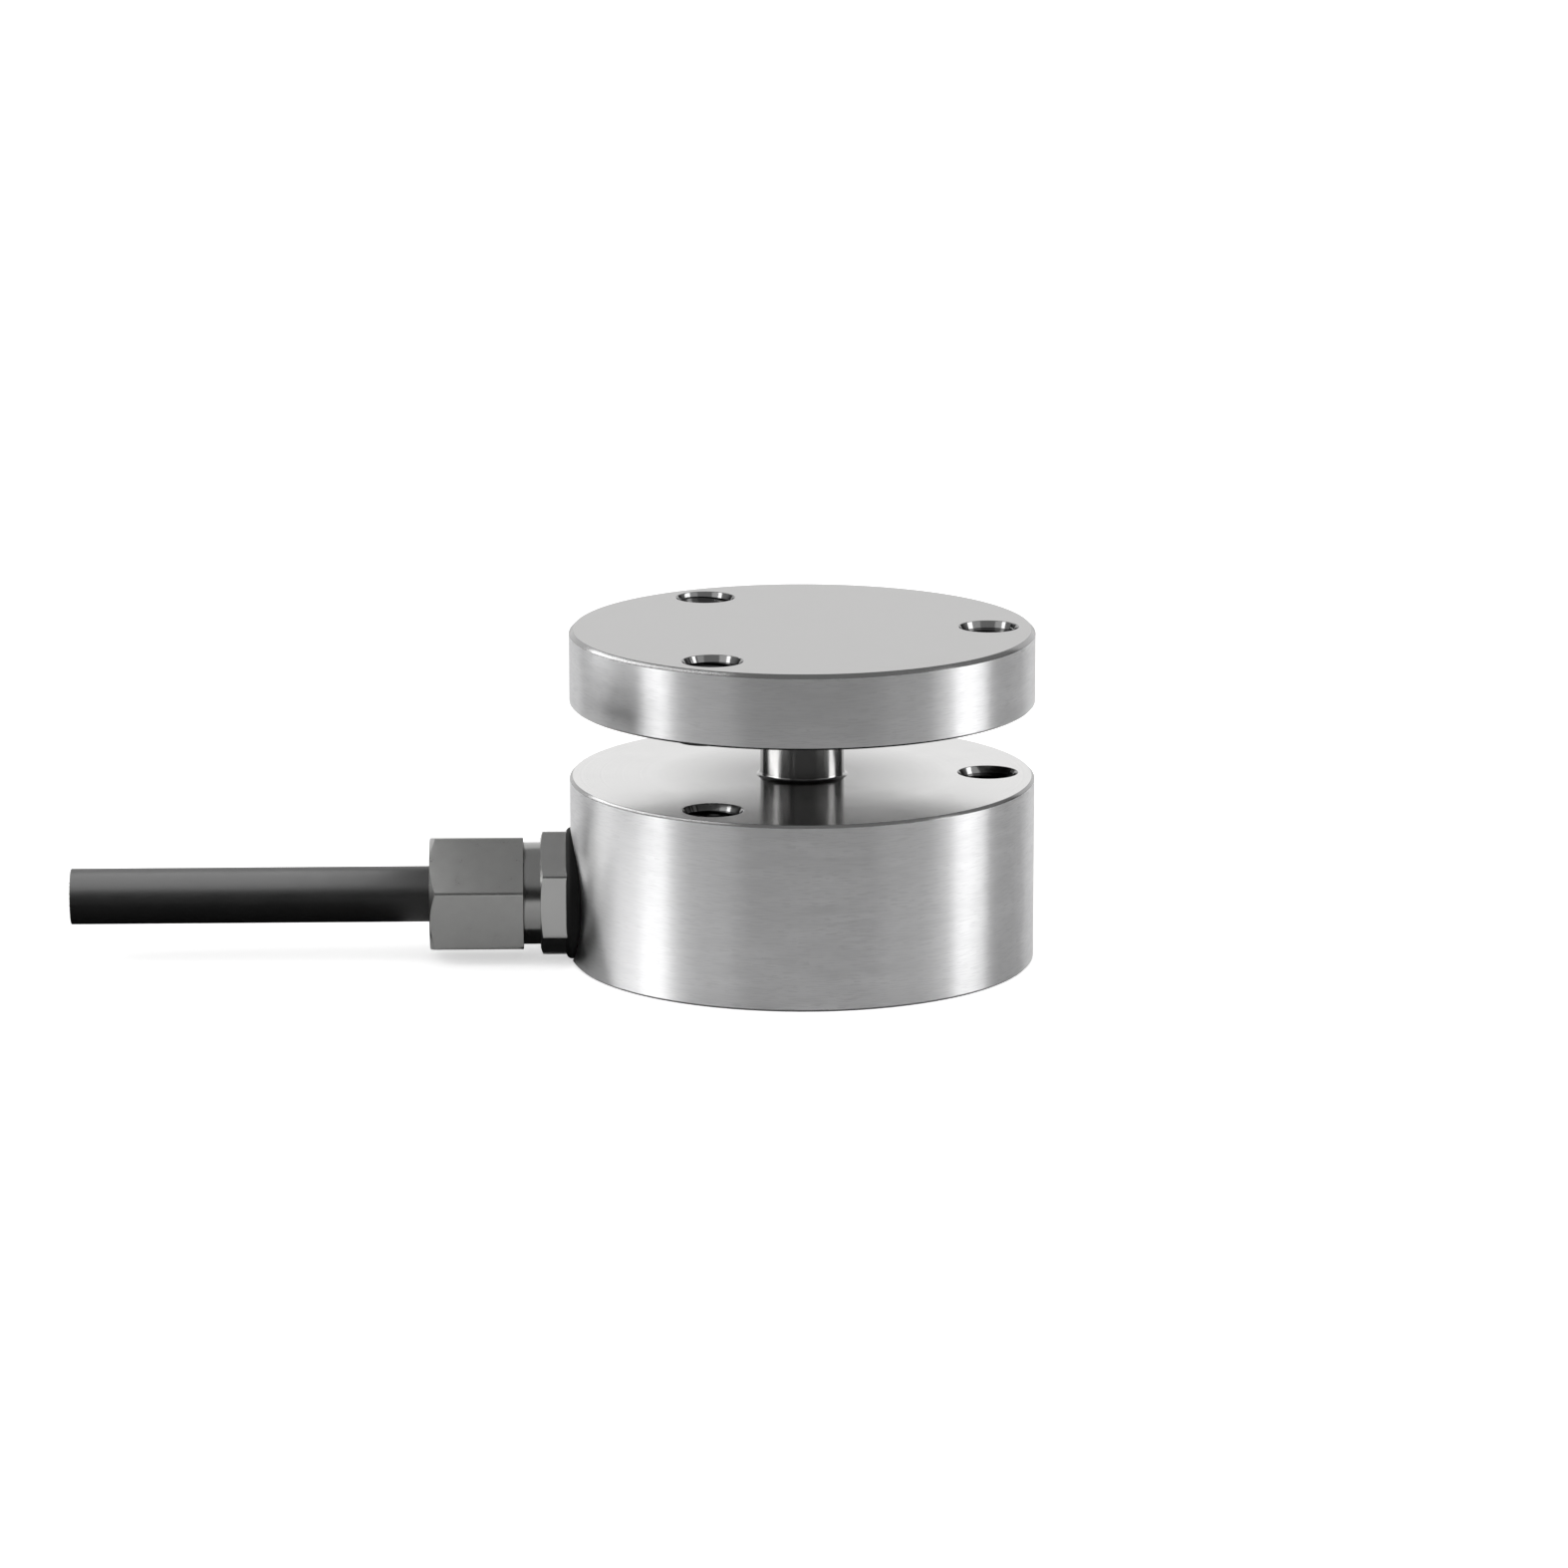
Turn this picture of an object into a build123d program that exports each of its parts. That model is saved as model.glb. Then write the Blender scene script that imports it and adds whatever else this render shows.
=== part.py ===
"""Miniature inline load cell: a one-piece turned sensing body with a side cable gland."""

from build123d import *
import math
import os

# Frame: millimetres, +Z up, origin at the centre of the base face.
# The gland points along -X, and one bolt hole of each face lies on +X.

# Overall sizes
body_diameter = 25.0
body_height = 10.0
flange_gap = 4.0
flange_thickness = 4.0
neck_diameter = 4.5
neck_fillet = 0.35
flange_top_chamfer = 0.22
flange_bottom_chamfer = 0.12
body_top_chamfer = 0.15
body_bottom_chamfer = 0.12

# Bolt holes, tapped M3 right through the flange and the body
bolt_count = 3
bolt_rim_distance = 2.5
tap_drill_diameter = 2.5
bolt_mouth_chamfer = 0.375

# Gauge chamber inside the body
chamber_wall = 1.0
diaphragm_thickness = 1.6
board_ledge_width = 0.6
boss_diameter = 5.2
boss_height = 1.2
chamber_fillet = 0.25

# Bottom cover, set into a step of the base
cover_seat_width = 0.55
cover_recess_depth = 1.0
cover_thickness = 0.8
cover_clearance = 0.05
cover_edge_chamfer = 0.1

# Cable gland, measured outwards from the load cell's axis
gland_height = 3.5
spot_face_depth = 0.6
spot_face_margin = 0.24
gland_thread_diameter = 5.0
gland_hex_across_flats = 6.0
gland_hex_length = 1.47
gland_hex_turn = 29.4
gland_hex_chamfer = 0.15
gland_collar_diameter = 5.5
gland_collar_length = 0.92
gland_spigot_length = 3.1
gland_face_inset = 0.05
gland_shank_end_wall = 0.4
gland_cable_clearance = 0.1
gland_thread_clearance = 0.05
gland_nut_turn = 13.0
gland_nut_end_wall = 1.45
gland_nut_chamfer = 0.34

# Seal parts of the gland
seal_washer_thickness = 0.75
seal_washer_diameter = 6.92
seal_washer_clearance = 0.02
grommet_length = 2.2
grommet_wall = 0.45
grommet_clearance = 0.03
thrust_washer_thickness = 0.48
thrust_washer_clearance = 0.04

# Cable, from the inside outwards
conductor_diameter = 0.32
insulation_diameter = 0.7
core_spacing_clearance = 0.05
core_fit_clearance = 0.01
shield_clearance = 0.05
shield_thickness = 0.13
jacket_clearance = 0.02
jacket_diameter = 3.0
cable_stub_length = 19.3
jacket_end_inside = 0.9
shield_trim_length = 0.3
filler_clearance = 0.03

# Crimped stop sleeve on the jacket, inside the gland's threaded hole
stop_sleeve_diameter = 4.4
stop_sleeve_length = 0.8
stop_sleeve_clearance = 0.03

# Terminal board under the diaphragm, at a set height above the gland's axis
board_above_gland = 2.3
board_thickness = 0.8
board_clearance = 0.05
board_window_clearance = 0.4
pad_thickness = 0.05
wire_hole_diameter = 0.5
wire_hole_side_place = 0.9
wire_pad_diameter = 0.8
core_pad_diameter = 1.1
core_pad_rim_distance = 2.7
core_pad_angles = (155.0, 130.0, -155.0, -130.0)

# Strain gauges bonded under the diaphragm
gauge_count = 4
gauge_length = 2.4
gauge_width = 2.0
gauge_backing_thickness = 0.1
gauge_foil_thickness = 0.05
gauge_edge_margin = 0.15
gauge_strands = 6
gauge_strand_width = 0.1
gauge_strand_pitch = 0.2
gauge_grid_length = 1.2
gauge_tab_size = 0.4
gauge_tab_outset = 0.1

# Gauge leads
lead_diameter = 0.16
lead_straight = 0.25
lead_bend_radius = 0.2
lead_tail = 0.3

# Solder joints
lead_solder_diameter = 0.7
lead_solder_tip_diameter = 0.32
lead_solder_height = 0.3
core_solder_diameter = 1.0
core_solder_tip_diameter = 0.56
core_solder_height = 0.45
solder_clearance = 0.02

# Chip resistors that trim the bridge
chip_length = 1.6
chip_width = 0.8
chip_height = 0.4
chip_cap_length = 0.35
chip_cap_overhang = 0.03
chip_angles = (45.0, -45.0)

# Cores inside the chamber
core_straight_inside = 0.9
core_bend_radius = 0.75
core_strip_length = 0.6

# Heights and radii worked out from the sizes above
body_radius = body_diameter / 2
neck_radius = neck_diameter / 2
flange_underside = body_height + flange_gap
total_height = flange_underside + flange_thickness
bolt_circle_radius = body_radius - bolt_rim_distance
tap_drill_radius = tap_drill_diameter / 2
chamber_radius = bolt_circle_radius - tap_drill_radius - chamber_wall
roof_height = body_height - diaphragm_thickness
board_underside = gland_height + board_above_gland
ledge_height = board_underside + board_thickness
upper_chamber_radius = chamber_radius - board_ledge_width
boss_radius = boss_diameter / 2
cover_recess_radius = chamber_radius + cover_seat_width
board_radius = chamber_radius - board_clearance
core_pad_radius = board_radius - core_pad_rim_distance
pad_face = board_underside - pad_thickness
spot_face_at = body_radius - spot_face_depth
hex_start = spot_face_at + seal_washer_thickness
hex_end = hex_start + gland_hex_length
collar_end = hex_end + gland_collar_length
spigot_end = collar_end + gland_spigot_length
nut_wall_at = spigot_end + thrust_washer_thickness
nut_end = nut_wall_at + gland_nut_end_wall
cable_end = nut_end + cable_stub_length
shank_end = chamber_radius + gland_shank_end_wall
jacket_inner_end = chamber_radius - jacket_end_inside
shield_inner_end = jacket_inner_end - shield_trim_length
jacket_radius = jacket_diameter / 2
gland_bore_radius = jacket_radius + gland_cable_clearance
gland_thread_radius = gland_thread_diameter / 2
male_thread_radius = gland_thread_radius - gland_thread_clearance
grommet_seat = spigot_end - grommet_length
grommet_radius = jacket_radius + grommet_wall
core_offset = (insulation_diameter + core_spacing_clearance) / 2
core_reach = core_offset * math.sqrt(2) + insulation_diameter / 2
shield_inner_radius = core_reach + shield_clearance
shield_outer_radius = shield_inner_radius + shield_thickness
jacket_inner_radius = shield_outer_radius + jacket_clearance
gauge_foil_face = roof_height - gauge_backing_thickness - gauge_foil_thickness
tab_reach = (gauge_grid_length + gauge_tab_size) / 2
tab_side = gauge_strand_pitch * (gauge_strands - 1) / 2 + gauge_tab_outset

# Planes and axes
gland_plane = Plane(origin=(0, 0, gland_height), x_dir=(0, -1, 0), z_dir=(-1, 0, 0))
gland_section = Plane(origin=(0, 0, gland_height), x_dir=(-1, 0, 0), z_dir=(0, 1, 0))
gland_axis = Axis((0, 0, gland_height), (-1, 0, 0))


def ring(plane, outer_radius, inner_radius, length):
    """Round sleeve that stands on a plane."""
    with BuildPart() as sleeve:
        with BuildSketch(plane):
            Circle(outer_radius)
            Circle(inner_radius, mode=Mode.SUBTRACT)
        extrude(amount=length)
    return sleeve


def turned_on_gland(profile):
    """Solid turned about the gland's axis from (distance out, radius) points."""
    with BuildPart() as turning:
        with BuildSketch(gland_section):
            with BuildLine():
                Polyline(*profile, close=True)
            make_face()
        revolve(axis=gland_axis)
    return turning


def chamfered_hex(start, length, turn, chamfer_depth):
    """Hexagon along the gland's axis, its outer corners turned to a cone."""
    flat_radius = gland_hex_across_flats / 2
    face_radius = flat_radius - gland_face_inset
    corner_radius = flat_radius / math.cos(math.pi / 6)
    slope = (corner_radius - face_radius) / chamfer_depth
    with BuildPart() as hexagon:
        with BuildSketch(gland_plane.offset(start)):
            RegularPolygon(flat_radius, 6, major_radius=False, rotation=turn)
        extrude(amount=length)
        with BuildSketch(gland_section):
            with BuildLine():
                Polyline(
                    (start, 0),
                    (start, face_radius + slope * length),
                    (start + length, face_radius),
                    (start + length, 0),
                    close=True,
                )
            make_face()
        revolve(axis=gland_axis, mode=Mode.INTERSECT)
    return hexagon


def wire_along(points, bend_radius, outer_radius, inner_radius=0.0):
    """Round wire or tube of straight runs joined by tangent arcs."""
    with BuildPart() as wire:
        with BuildLine() as route:
            FilletPolyline(*points, radius=bend_radius)
        start = route.line @ 0
        with BuildSketch(Plane(origin=start, z_dir=route.line % 0)):
            Circle(outer_radius)
            if inner_radius > 0:
                Circle(inner_radius, mode=Mode.SUBTRACT)
        sweep(path=route.line)
    return wire


def save(piece, name):
    """Label a finished piece and write it."""
    piece.part.label = name
    export_step(piece.part, f"parts/{name}.step")


os.makedirs("parts", exist_ok=True)

# Elastic body: flange, neck, diaphragm and outer ring turned from one bar
with BuildPart() as elastic_body:
    with BuildSketch(Plane.XZ):
        with BuildLine():
            Polyline(
                (0, roof_height - boss_height),
                (boss_radius, roof_height - boss_height),
                (boss_radius, roof_height),
                (upper_chamber_radius, roof_height),
                (upper_chamber_radius, ledge_height),
                (chamber_radius, ledge_height),
                (chamber_radius, cover_recess_depth),
                (cover_recess_radius, cover_recess_depth),
                (cover_recess_radius, 0),
                (body_radius, 0),
                (body_radius, body_height),
                (neck_radius, body_height),
                (neck_radius, flange_underside),
                (body_radius, flange_underside),
                (body_radius, total_height),
                (0, total_height),
                close=True,
            )
        make_face()
    revolve(axis=Axis.Z)

    rims = elastic_body.edges().filter_by(GeomType.CIRCLE)
    outer_rims = rims.filter_by(lambda e: abs(e.radius - body_radius) < 0.001).sort_by(Axis.Z)
    neck_rims = rims.filter_by(lambda e: abs(e.radius - neck_radius) < 0.001)
    neck_rims = neck_rims.filter_by(lambda e: e.center().Z > roof_height)
    roof_rims = rims.filter_by(lambda e: abs(e.center().Z - roof_height) < 0.001)
    chamfer(outer_rims[0], length=body_bottom_chamfer)
    chamfer(outer_rims[1], length=body_top_chamfer)
    chamfer(outer_rims[2], length=flange_bottom_chamfer)
    chamfer(outer_rims[3], length=flange_top_chamfer)
    fillet(neck_rims, radius=neck_fillet)
    fillet(roof_rims, radius=chamber_fillet)

    # Three tapped holes in line through both faces, each mouth countersunk
    with Locations(Plane.XY.offset(total_height)):
        with PolarLocations(bolt_circle_radius, bolt_count):
            Hole(tap_drill_radius)
    mouths = elastic_body.edges().filter_by(GeomType.CIRCLE)
    mouths = mouths.filter_by(lambda e: abs(e.radius - tap_drill_radius) < 0.001)
    chamfer(mouths, length=bolt_mouth_chamfer)

    # Spot face for the gland, and its threaded hole into the chamber
    with BuildSketch(gland_plane.offset(spot_face_at)):
        Circle(seal_washer_diameter / 2 + spot_face_margin)
    extrude(amount=body_radius, mode=Mode.SUBTRACT)
    with BuildSketch(gland_plane.offset(chamber_radius / 2)):
        Circle(gland_thread_radius)
    extrude(amount=body_radius, mode=Mode.SUBTRACT)
save(elastic_body, "elastic_body")

# Bottom cover, seated against the step and set back from the base face
with BuildPart() as bottom_cover:
    with BuildSketch(Plane.XY.offset(cover_recess_depth - cover_thickness)):
        Circle(cover_recess_radius - cover_clearance)
    extrude(amount=cover_thickness)
    chamfer(bottom_cover.edges().sort_by(Axis.Z)[0], length=cover_edge_chamfer)
save(bottom_cover, "bottom_cover")

# Gland body: threaded shank, hexagon, collar and spigot in one piece
gland_shank = turned_on_gland(
    [
        (shank_end, gland_bore_radius),
        (shank_end, male_thread_radius),
        (hex_end, male_thread_radius),
        (hex_end, gland_collar_diameter / 2),
        (collar_end, gland_collar_diameter / 2),
        (collar_end, male_thread_radius),
        (spigot_end, male_thread_radius),
        (spigot_end, grommet_radius + grommet_clearance),
        (grommet_seat, grommet_radius + grommet_clearance),
        (grommet_seat, gland_bore_radius),
    ]
)
gland_hexagon = chamfered_hex(hex_start, gland_hex_length, gland_hex_turn, gland_hex_chamfer)
with BuildPart() as gland_body:
    add(gland_hexagon.part)
    with BuildSketch(gland_plane.offset(hex_start)):
        Circle(gland_bore_radius)
    extrude(amount=gland_hex_length, mode=Mode.SUBTRACT)
    add(gland_shank.part)
save(gland_body, "gland_body")

# Gland nut: hexagon over the spigot, its end wall pressing on the thrust washer
gland_nut_hexagon = chamfered_hex(collar_end, nut_end - collar_end, gland_nut_turn, gland_nut_chamfer)
with BuildPart() as gland_nut:
    add(gland_nut_hexagon.part)
    with BuildSketch(gland_plane.offset(collar_end)):
        Circle(gland_thread_radius)
    extrude(amount=nut_wall_at - collar_end, mode=Mode.SUBTRACT)
    with BuildSketch(gland_plane.offset(collar_end)):
        Circle(gland_bore_radius)
    extrude(amount=nut_end - collar_end, mode=Mode.SUBTRACT)
save(gland_nut, "gland_nut")

# Seal washer between the hexagon and the spot face
seal_washer = ring(
    gland_plane.offset(spot_face_at),
    seal_washer_diameter / 2,
    male_thread_radius + seal_washer_clearance,
    seal_washer_thickness,
)
save(seal_washer, "seal_washer")

# Rubber grommet round the cable, in the spigot's counterbore
gland_grommet = ring(
    gland_plane.offset(grommet_seat),
    grommet_radius,
    jacket_radius + grommet_clearance,
    grommet_length,
)
save(gland_grommet, "gland_grommet")

# Thrust washer between the grommet and the nut's end wall
thrust_washer = ring(
    gland_plane.offset(spigot_end),
    grommet_radius,
    jacket_radius + thrust_washer_clearance,
    thrust_washer_thickness,
)
save(thrust_washer, "thrust_washer")

# Cable jacket and shield, cut square outside and stripped back inside
cable_jacket = ring(
    gland_plane.offset(jacket_inner_end),
    jacket_radius,
    jacket_inner_radius,
    cable_end - jacket_inner_end,
)
save(cable_jacket, "cable_jacket")
cable_shield = ring(
    gland_plane.offset(shield_inner_end),
    shield_outer_radius,
    shield_inner_radius,
    cable_end - shield_inner_end,
)
save(cable_shield, "cable_shield")

# Filler thread in the middle of the four cores
with BuildPart() as cable_filler:
    with BuildSketch(gland_plane.offset(shield_inner_end)):
        Circle(core_reach - insulation_diameter - filler_clearance)
    extrude(amount=cable_end - shield_inner_end)
save(cable_filler, "cable_filler")

# Stop sleeve crimped on the jacket against the inner end of the gland
stop_sleeve = ring(
    gland_plane.offset(shank_end - stop_sleeve_length),
    stop_sleeve_diameter / 2,
    jacket_radius + stop_sleeve_clearance,
    stop_sleeve_length,
)
save(stop_sleeve, "stop_sleeve")

# Cores: a bare conductor in its insulation, fanned out to the board's pads
core_pad_places = [
    (
        core_pad_radius * math.cos(math.radians(angle)),
        core_pad_radius * math.sin(math.radians(angle)),
    )
    for angle in core_pad_angles
]
core_sides = ((1, 1), (1, -1), (-1, 1), (-1, -1))
for number, (side, level) in enumerate(core_sides):
    pad_x, pad_y = core_pad_places[number]
    core_y = side * core_offset
    core_z = gland_height + level * core_offset
    core_points = [
        (-cable_end, core_y, core_z),
        (core_straight_inside - jacket_inner_end, core_y, core_z),
        (pad_x, pad_y, core_z),
    ]
    insulation = wire_along(
        core_points + [(pad_x, pad_y, board_underside - core_strip_length)],
        core_bend_radius,
        insulation_diameter / 2,
        conductor_diameter / 2 + core_fit_clearance,
    )
    save(insulation, f"core_insulation_{number + 1}")
    conductor = wire_along(
        core_points + [(pad_x, pad_y, pad_face)],
        core_bend_radius,
        conductor_diameter / 2,
    )
    save(conductor, f"core_conductor_{number + 1}")

# Gauge places under the diaphragm: one near the boss, the next near the wall
inner_gauge_place = boss_radius + chamber_fillet + gauge_edge_margin + gauge_length / 2
outer_gauge_reach = math.sqrt((upper_chamber_radius - chamber_fillet) ** 2 - (gauge_width / 2) ** 2)
outer_gauge_place = outer_gauge_reach - gauge_edge_margin - gauge_length / 2

# Terminal board: a ring glued up against the ledge, with a hole for each lead
# The holes lie midway between the inner and the outer gauges' tabs
wire_hole_place = (inner_gauge_place + outer_gauge_place) / 2
gauge_angles = [360 / gauge_count * number for number in range(gauge_count)]
wire_hole_angle = math.degrees(math.atan2(wire_hole_side_place, wire_hole_place))
wire_hole_reach = math.hypot(wire_hole_side_place, wire_hole_place)
wire_hole_angles = [angle + turn for angle in gauge_angles for turn in (-wire_hole_angle, wire_hole_angle)]
wire_hole_places = [
    (
        wire_hole_reach * math.cos(math.radians(angle)),
        wire_hole_reach * math.sin(math.radians(angle)),
    )
    for angle in wire_hole_angles
]
with BuildPart() as terminal_board:
    with BuildSketch(Plane.XY.offset(board_underside)):
        Circle(board_radius)
        Circle(boss_radius + board_window_clearance, mode=Mode.SUBTRACT)
        with Locations(*wire_hole_places):
            Circle(wire_hole_diameter / 2, mode=Mode.SUBTRACT)
    extrude(amount=board_thickness)
save(terminal_board, "terminal_board")

# Copper pads on the board's underside, for leads, cores and chips
chip_pad_reach = (chip_length - chip_cap_length) / 2
with BuildPart() as board_pads:
    with BuildSketch(Plane.XY.offset(pad_face)):
        with Locations(*wire_hole_places):
            Circle(wire_pad_diameter / 2)
            Circle(wire_hole_diameter / 2, mode=Mode.SUBTRACT)
        with Locations(*core_pad_places):
            Circle(core_pad_diameter / 2)
        for angle in chip_angles:
            with PolarLocations(core_pad_radius, 1, start_angle=angle):
                with Locations((0, -chip_pad_reach), (0, chip_pad_reach)):
                    Rectangle(chip_width, chip_cap_length)
    extrude(amount=pad_thickness)
save(board_pads, "board_pads")

# Chip resistors, their metal end caps a little proud of the ceramic
for number, angle in enumerate(chip_angles):
    with BuildPart() as chip:
        with BuildSketch(Plane.XY.offset(pad_face)):
            with PolarLocations(core_pad_radius, 1, start_angle=angle):
                Rectangle(chip_width - 2 * chip_cap_overhang, chip_length - 2 * chip_cap_overhang)
        extrude(amount=chip_cap_overhang - chip_height)
        with BuildSketch(Plane.XY.offset(pad_face)):
            with PolarLocations(core_pad_radius, 1, start_angle=angle):
                with Locations((0, -chip_pad_reach), (0, chip_pad_reach)):
                    Rectangle(chip_width, chip_cap_length)
        extrude(amount=-chip_height)
    save(chip, f"trim_resistor_{number + 1}")

# Strain gauges: a backing film that carries a folded foil grid
strand_places = [(index - (gauge_strands - 1) / 2) * gauge_strand_pitch for index in range(gauge_strands)]
for number, angle in enumerate(gauge_angles):
    # The grid's tabs face the middle of the ring, where the leads go down
    facing = -1 if number % 2 == 0 else 1
    place = inner_gauge_place if number % 2 == 0 else outer_gauge_place
    radial = Vector(math.cos(math.radians(angle)), math.sin(math.radians(angle)), 0)
    across = Vector(-radial.Y, radial.X, 0)
    centre = radial * place
    bond_plane = Plane(origin=centre + Vector(0, 0, roof_height), x_dir=radial * facing, z_dir=(0, 0, -1))

    with BuildPart() as gauge_backing:
        with BuildSketch(bond_plane):
            Rectangle(gauge_length, gauge_width)
        extrude(amount=gauge_backing_thickness)
    save(gauge_backing, f"gauge_backing_{number + 1}")

    with BuildPart() as gauge_grid:
        with BuildSketch(bond_plane.offset(gauge_backing_thickness)):
            with Locations(*[(0, strand_place) for strand_place in strand_places]):
                Rectangle(gauge_grid_length, gauge_strand_width)
            for index in range(gauge_strands - 1):
                end = 1 if index % 2 == 0 else -1
                loop_x = end * (gauge_grid_length - gauge_strand_width) / 2
                loop_y = (strand_places[index] + strand_places[index + 1]) / 2
                with Locations((loop_x, loop_y)):
                    Rectangle(gauge_strand_width, gauge_strand_pitch)
            with Locations((-tab_reach, -tab_side), (-tab_reach, tab_side)):
                Rectangle(gauge_tab_size, gauge_tab_size)
        extrude(amount=gauge_foil_thickness)
    save(gauge_grid, f"gauge_grid_{number + 1}")

    # Two leads from the tabs, down through the board to their solder joints
    tab_centre = centre - radial * (facing * tab_reach)
    for letter, side in (("a", -1), ("b", 1)):
        tab = tab_centre + across * (side * tab_side)
        hole = radial * wire_hole_place + across * (side * wire_hole_side_place)
        jog_top = gauge_foil_face - lead_straight
        jog_bottom = ledge_height + lead_straight
        lead = wire_along(
            [
                (tab.X, tab.Y, gauge_foil_face),
                (tab.X, tab.Y, jog_top),
                (hole.X, hole.Y, jog_bottom),
                (hole.X, hole.Y, pad_face - lead_tail),
            ],
            lead_bend_radius,
            lead_diameter / 2,
        )
        save(lead, f"gauge_lead_{number + 1}{letter}")

# Solder joints: a cone of solder round each lead and each core, standing on its pad
lead_joint = (lead_solder_diameter, lead_solder_tip_diameter, lead_solder_height, lead_diameter)
core_joint = (core_solder_diameter, core_solder_tip_diameter, core_solder_height, conductor_diameter)
joint_places = [(place, lead_joint) for place in wire_hole_places]
joint_places += [(place, core_joint) for place in core_pad_places]
hanging = (Align.CENTER, Align.CENTER, Align.MAX)
with BuildPart() as solder_joints:
    for (joint_x, joint_y), (base, tip, height, wire) in joint_places:
        with Locations((joint_x, joint_y, pad_face)):
            Cone(tip / 2, base / 2, height, align=hanging)
            Cylinder(wire / 2 + solder_clearance, height, align=hanging, mode=Mode.SUBTRACT)
save(solder_joints, "solder_joints")
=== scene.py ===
"""Dresses the miniature inline load cell: turned steel spool, side gland, cut cable and studio."""

import logging
import math
from contextlib import contextmanager
from dataclasses import dataclass, field
from enum import Enum
from typing import Callable, ClassVar, Iterator

import bmesh
import bpy
from bpy.types import Material, Node, NodeSocket, NodeTree, Object
from mathutils import Matrix, Vector


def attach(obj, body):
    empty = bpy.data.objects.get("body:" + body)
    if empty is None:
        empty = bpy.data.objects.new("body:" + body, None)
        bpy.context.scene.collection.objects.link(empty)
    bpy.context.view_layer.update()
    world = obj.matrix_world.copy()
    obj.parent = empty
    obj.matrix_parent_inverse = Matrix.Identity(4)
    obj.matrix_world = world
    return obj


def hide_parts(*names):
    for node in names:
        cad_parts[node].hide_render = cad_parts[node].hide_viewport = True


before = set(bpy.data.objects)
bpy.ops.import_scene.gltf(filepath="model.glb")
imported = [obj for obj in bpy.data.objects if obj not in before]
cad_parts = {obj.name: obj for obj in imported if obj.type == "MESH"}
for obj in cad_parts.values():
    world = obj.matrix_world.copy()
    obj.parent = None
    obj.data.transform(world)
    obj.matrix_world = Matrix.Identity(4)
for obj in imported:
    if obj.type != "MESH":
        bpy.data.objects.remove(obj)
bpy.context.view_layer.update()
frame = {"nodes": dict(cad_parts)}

log = logging.getLogger("load_cell")
MM = 0.001
ROOT = "root"
CORE = 0.5  # radius in millimetres at which a solid turning starts and ends
OVERSHOOT = 1.0  # how far a cutter stands out of what it cuts, in millimetres
SEAM = 0.01  # step in millimetres between the first and last point of a ring's profile

Station = tuple[float, float]
Range = tuple[float, float]
Stretch = tuple[float, float, float]
Colour = tuple[float, float, float]
Extent = tuple[float, float, float, float, float]


class Way(Enum):
    """How a cutter or a second solid meets the piece."""

    CUT = "DIFFERENCE"
    JOIN = "UNION"
    KEEP_COMMON = "INTERSECT"


class Zone(Enum):
    """Faces of the turned spool that get different materials: lathe finishes, and darker copies of the steel
    that paint shade in the gap and holes and a dark reflection on the edges.
    """

    SIDE = 0
    LOADING_FACE = 1
    INNER_FACE = 2
    NECK = 3
    THREAD = 4
    UNDERSIDE = 5
    EDGE = 6
    MOUTH = 7


def deselect_all() -> None:
    """Leave object mode with nothing selected."""
    if bpy.context.object and bpy.context.object.mode != "OBJECT":
        bpy.ops.object.mode_set(mode="OBJECT")
    bpy.ops.object.select_all(action="DESELECT")


def pick(piece: Object) -> None:
    """Select one object alone and make it active.

    Args:
        piece: The object that the next operators act on.
    """
    deselect_all()
    piece.select_set(True)
    bpy.context.view_layer.objects.active = piece


@contextmanager
def editing(piece: Object) -> Iterator[Object]:
    """Open a piece in edit mode with all its vertices selected, and close it afterwards.

    Args:
        piece: The object to shape.

    Returns:
        The same object, in edit mode.
    """
    pick(piece)
    bpy.ops.object.mode_set(mode="EDIT")
    bpy.ops.mesh.select_mode(type="VERT")
    bpy.ops.mesh.select_all(action="SELECT")
    yield piece
    bpy.ops.object.mode_set(mode="OBJECT")


def select_faces(piece: Object, test: Callable[[Vector, Vector], bool]) -> None:
    """In edit mode, select the faces whose centre and normal pass a test.

    Args:
        piece: The object in edit mode.
        test: Takes a face's centre and normal, both in metres, and says yes or no.
    """
    bpy.ops.mesh.select_mode(type="FACE")
    bpy.ops.mesh.select_all(action="DESELECT")
    mesh = bmesh.from_edit_mesh(piece.data)
    for face in mesh.faces:
        face.select = test(face.calc_center_median(), face.normal)
    mesh.select_flush_mode()
    bmesh.update_edit_mesh(piece.data)


def select_edges(piece: Object, test: Callable[[Vector, Vector], bool]) -> None:
    """In edit mode, select the edges whose two ends pass a test.

    Args:
        piece: The object in edit mode.
        test: Takes the two ends of an edge, in metres, and says yes or no.
    """
    mesh = bmesh.from_edit_mesh(piece.data)
    bpy.ops.mesh.select_mode(type="EDGE")
    bpy.ops.mesh.select_all(action="DESELECT")
    for edge in mesh.edges:
        if test(edge.verts[0].co, edge.verts[1].co):
            edge.select = True
    bmesh.update_edit_mesh(piece.data)


def mend_normals(piece: Object, gap: float = 0.0005 * MM) -> None:
    """Merge doubles and turn every face outwards.

    Args:
        piece: The object to mend.
        gap: Vertices nearer than this become one, in metres.
    """
    with editing(piece):
        bpy.ops.mesh.remove_doubles(threshold=gap)
        bpy.ops.mesh.normals_make_consistent(inside=False)


def combine(piece: Object, other: Object, way: Way) -> None:
    """Cut, join or intersect a piece with another solid, which is used up.

    Args:
        piece: The object that is kept.
        other: The object that shapes it.
        way: What is done with it.
    """
    pick(piece)
    modifier = piece.modifiers.new(way.name, "BOOLEAN")
    modifier.operation = way.value
    modifier.solver = "MANIFOLD"
    modifier.object = other
    bpy.ops.object.modifier_apply(modifier=modifier.name)
    bpy.data.objects.remove(other)


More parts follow.
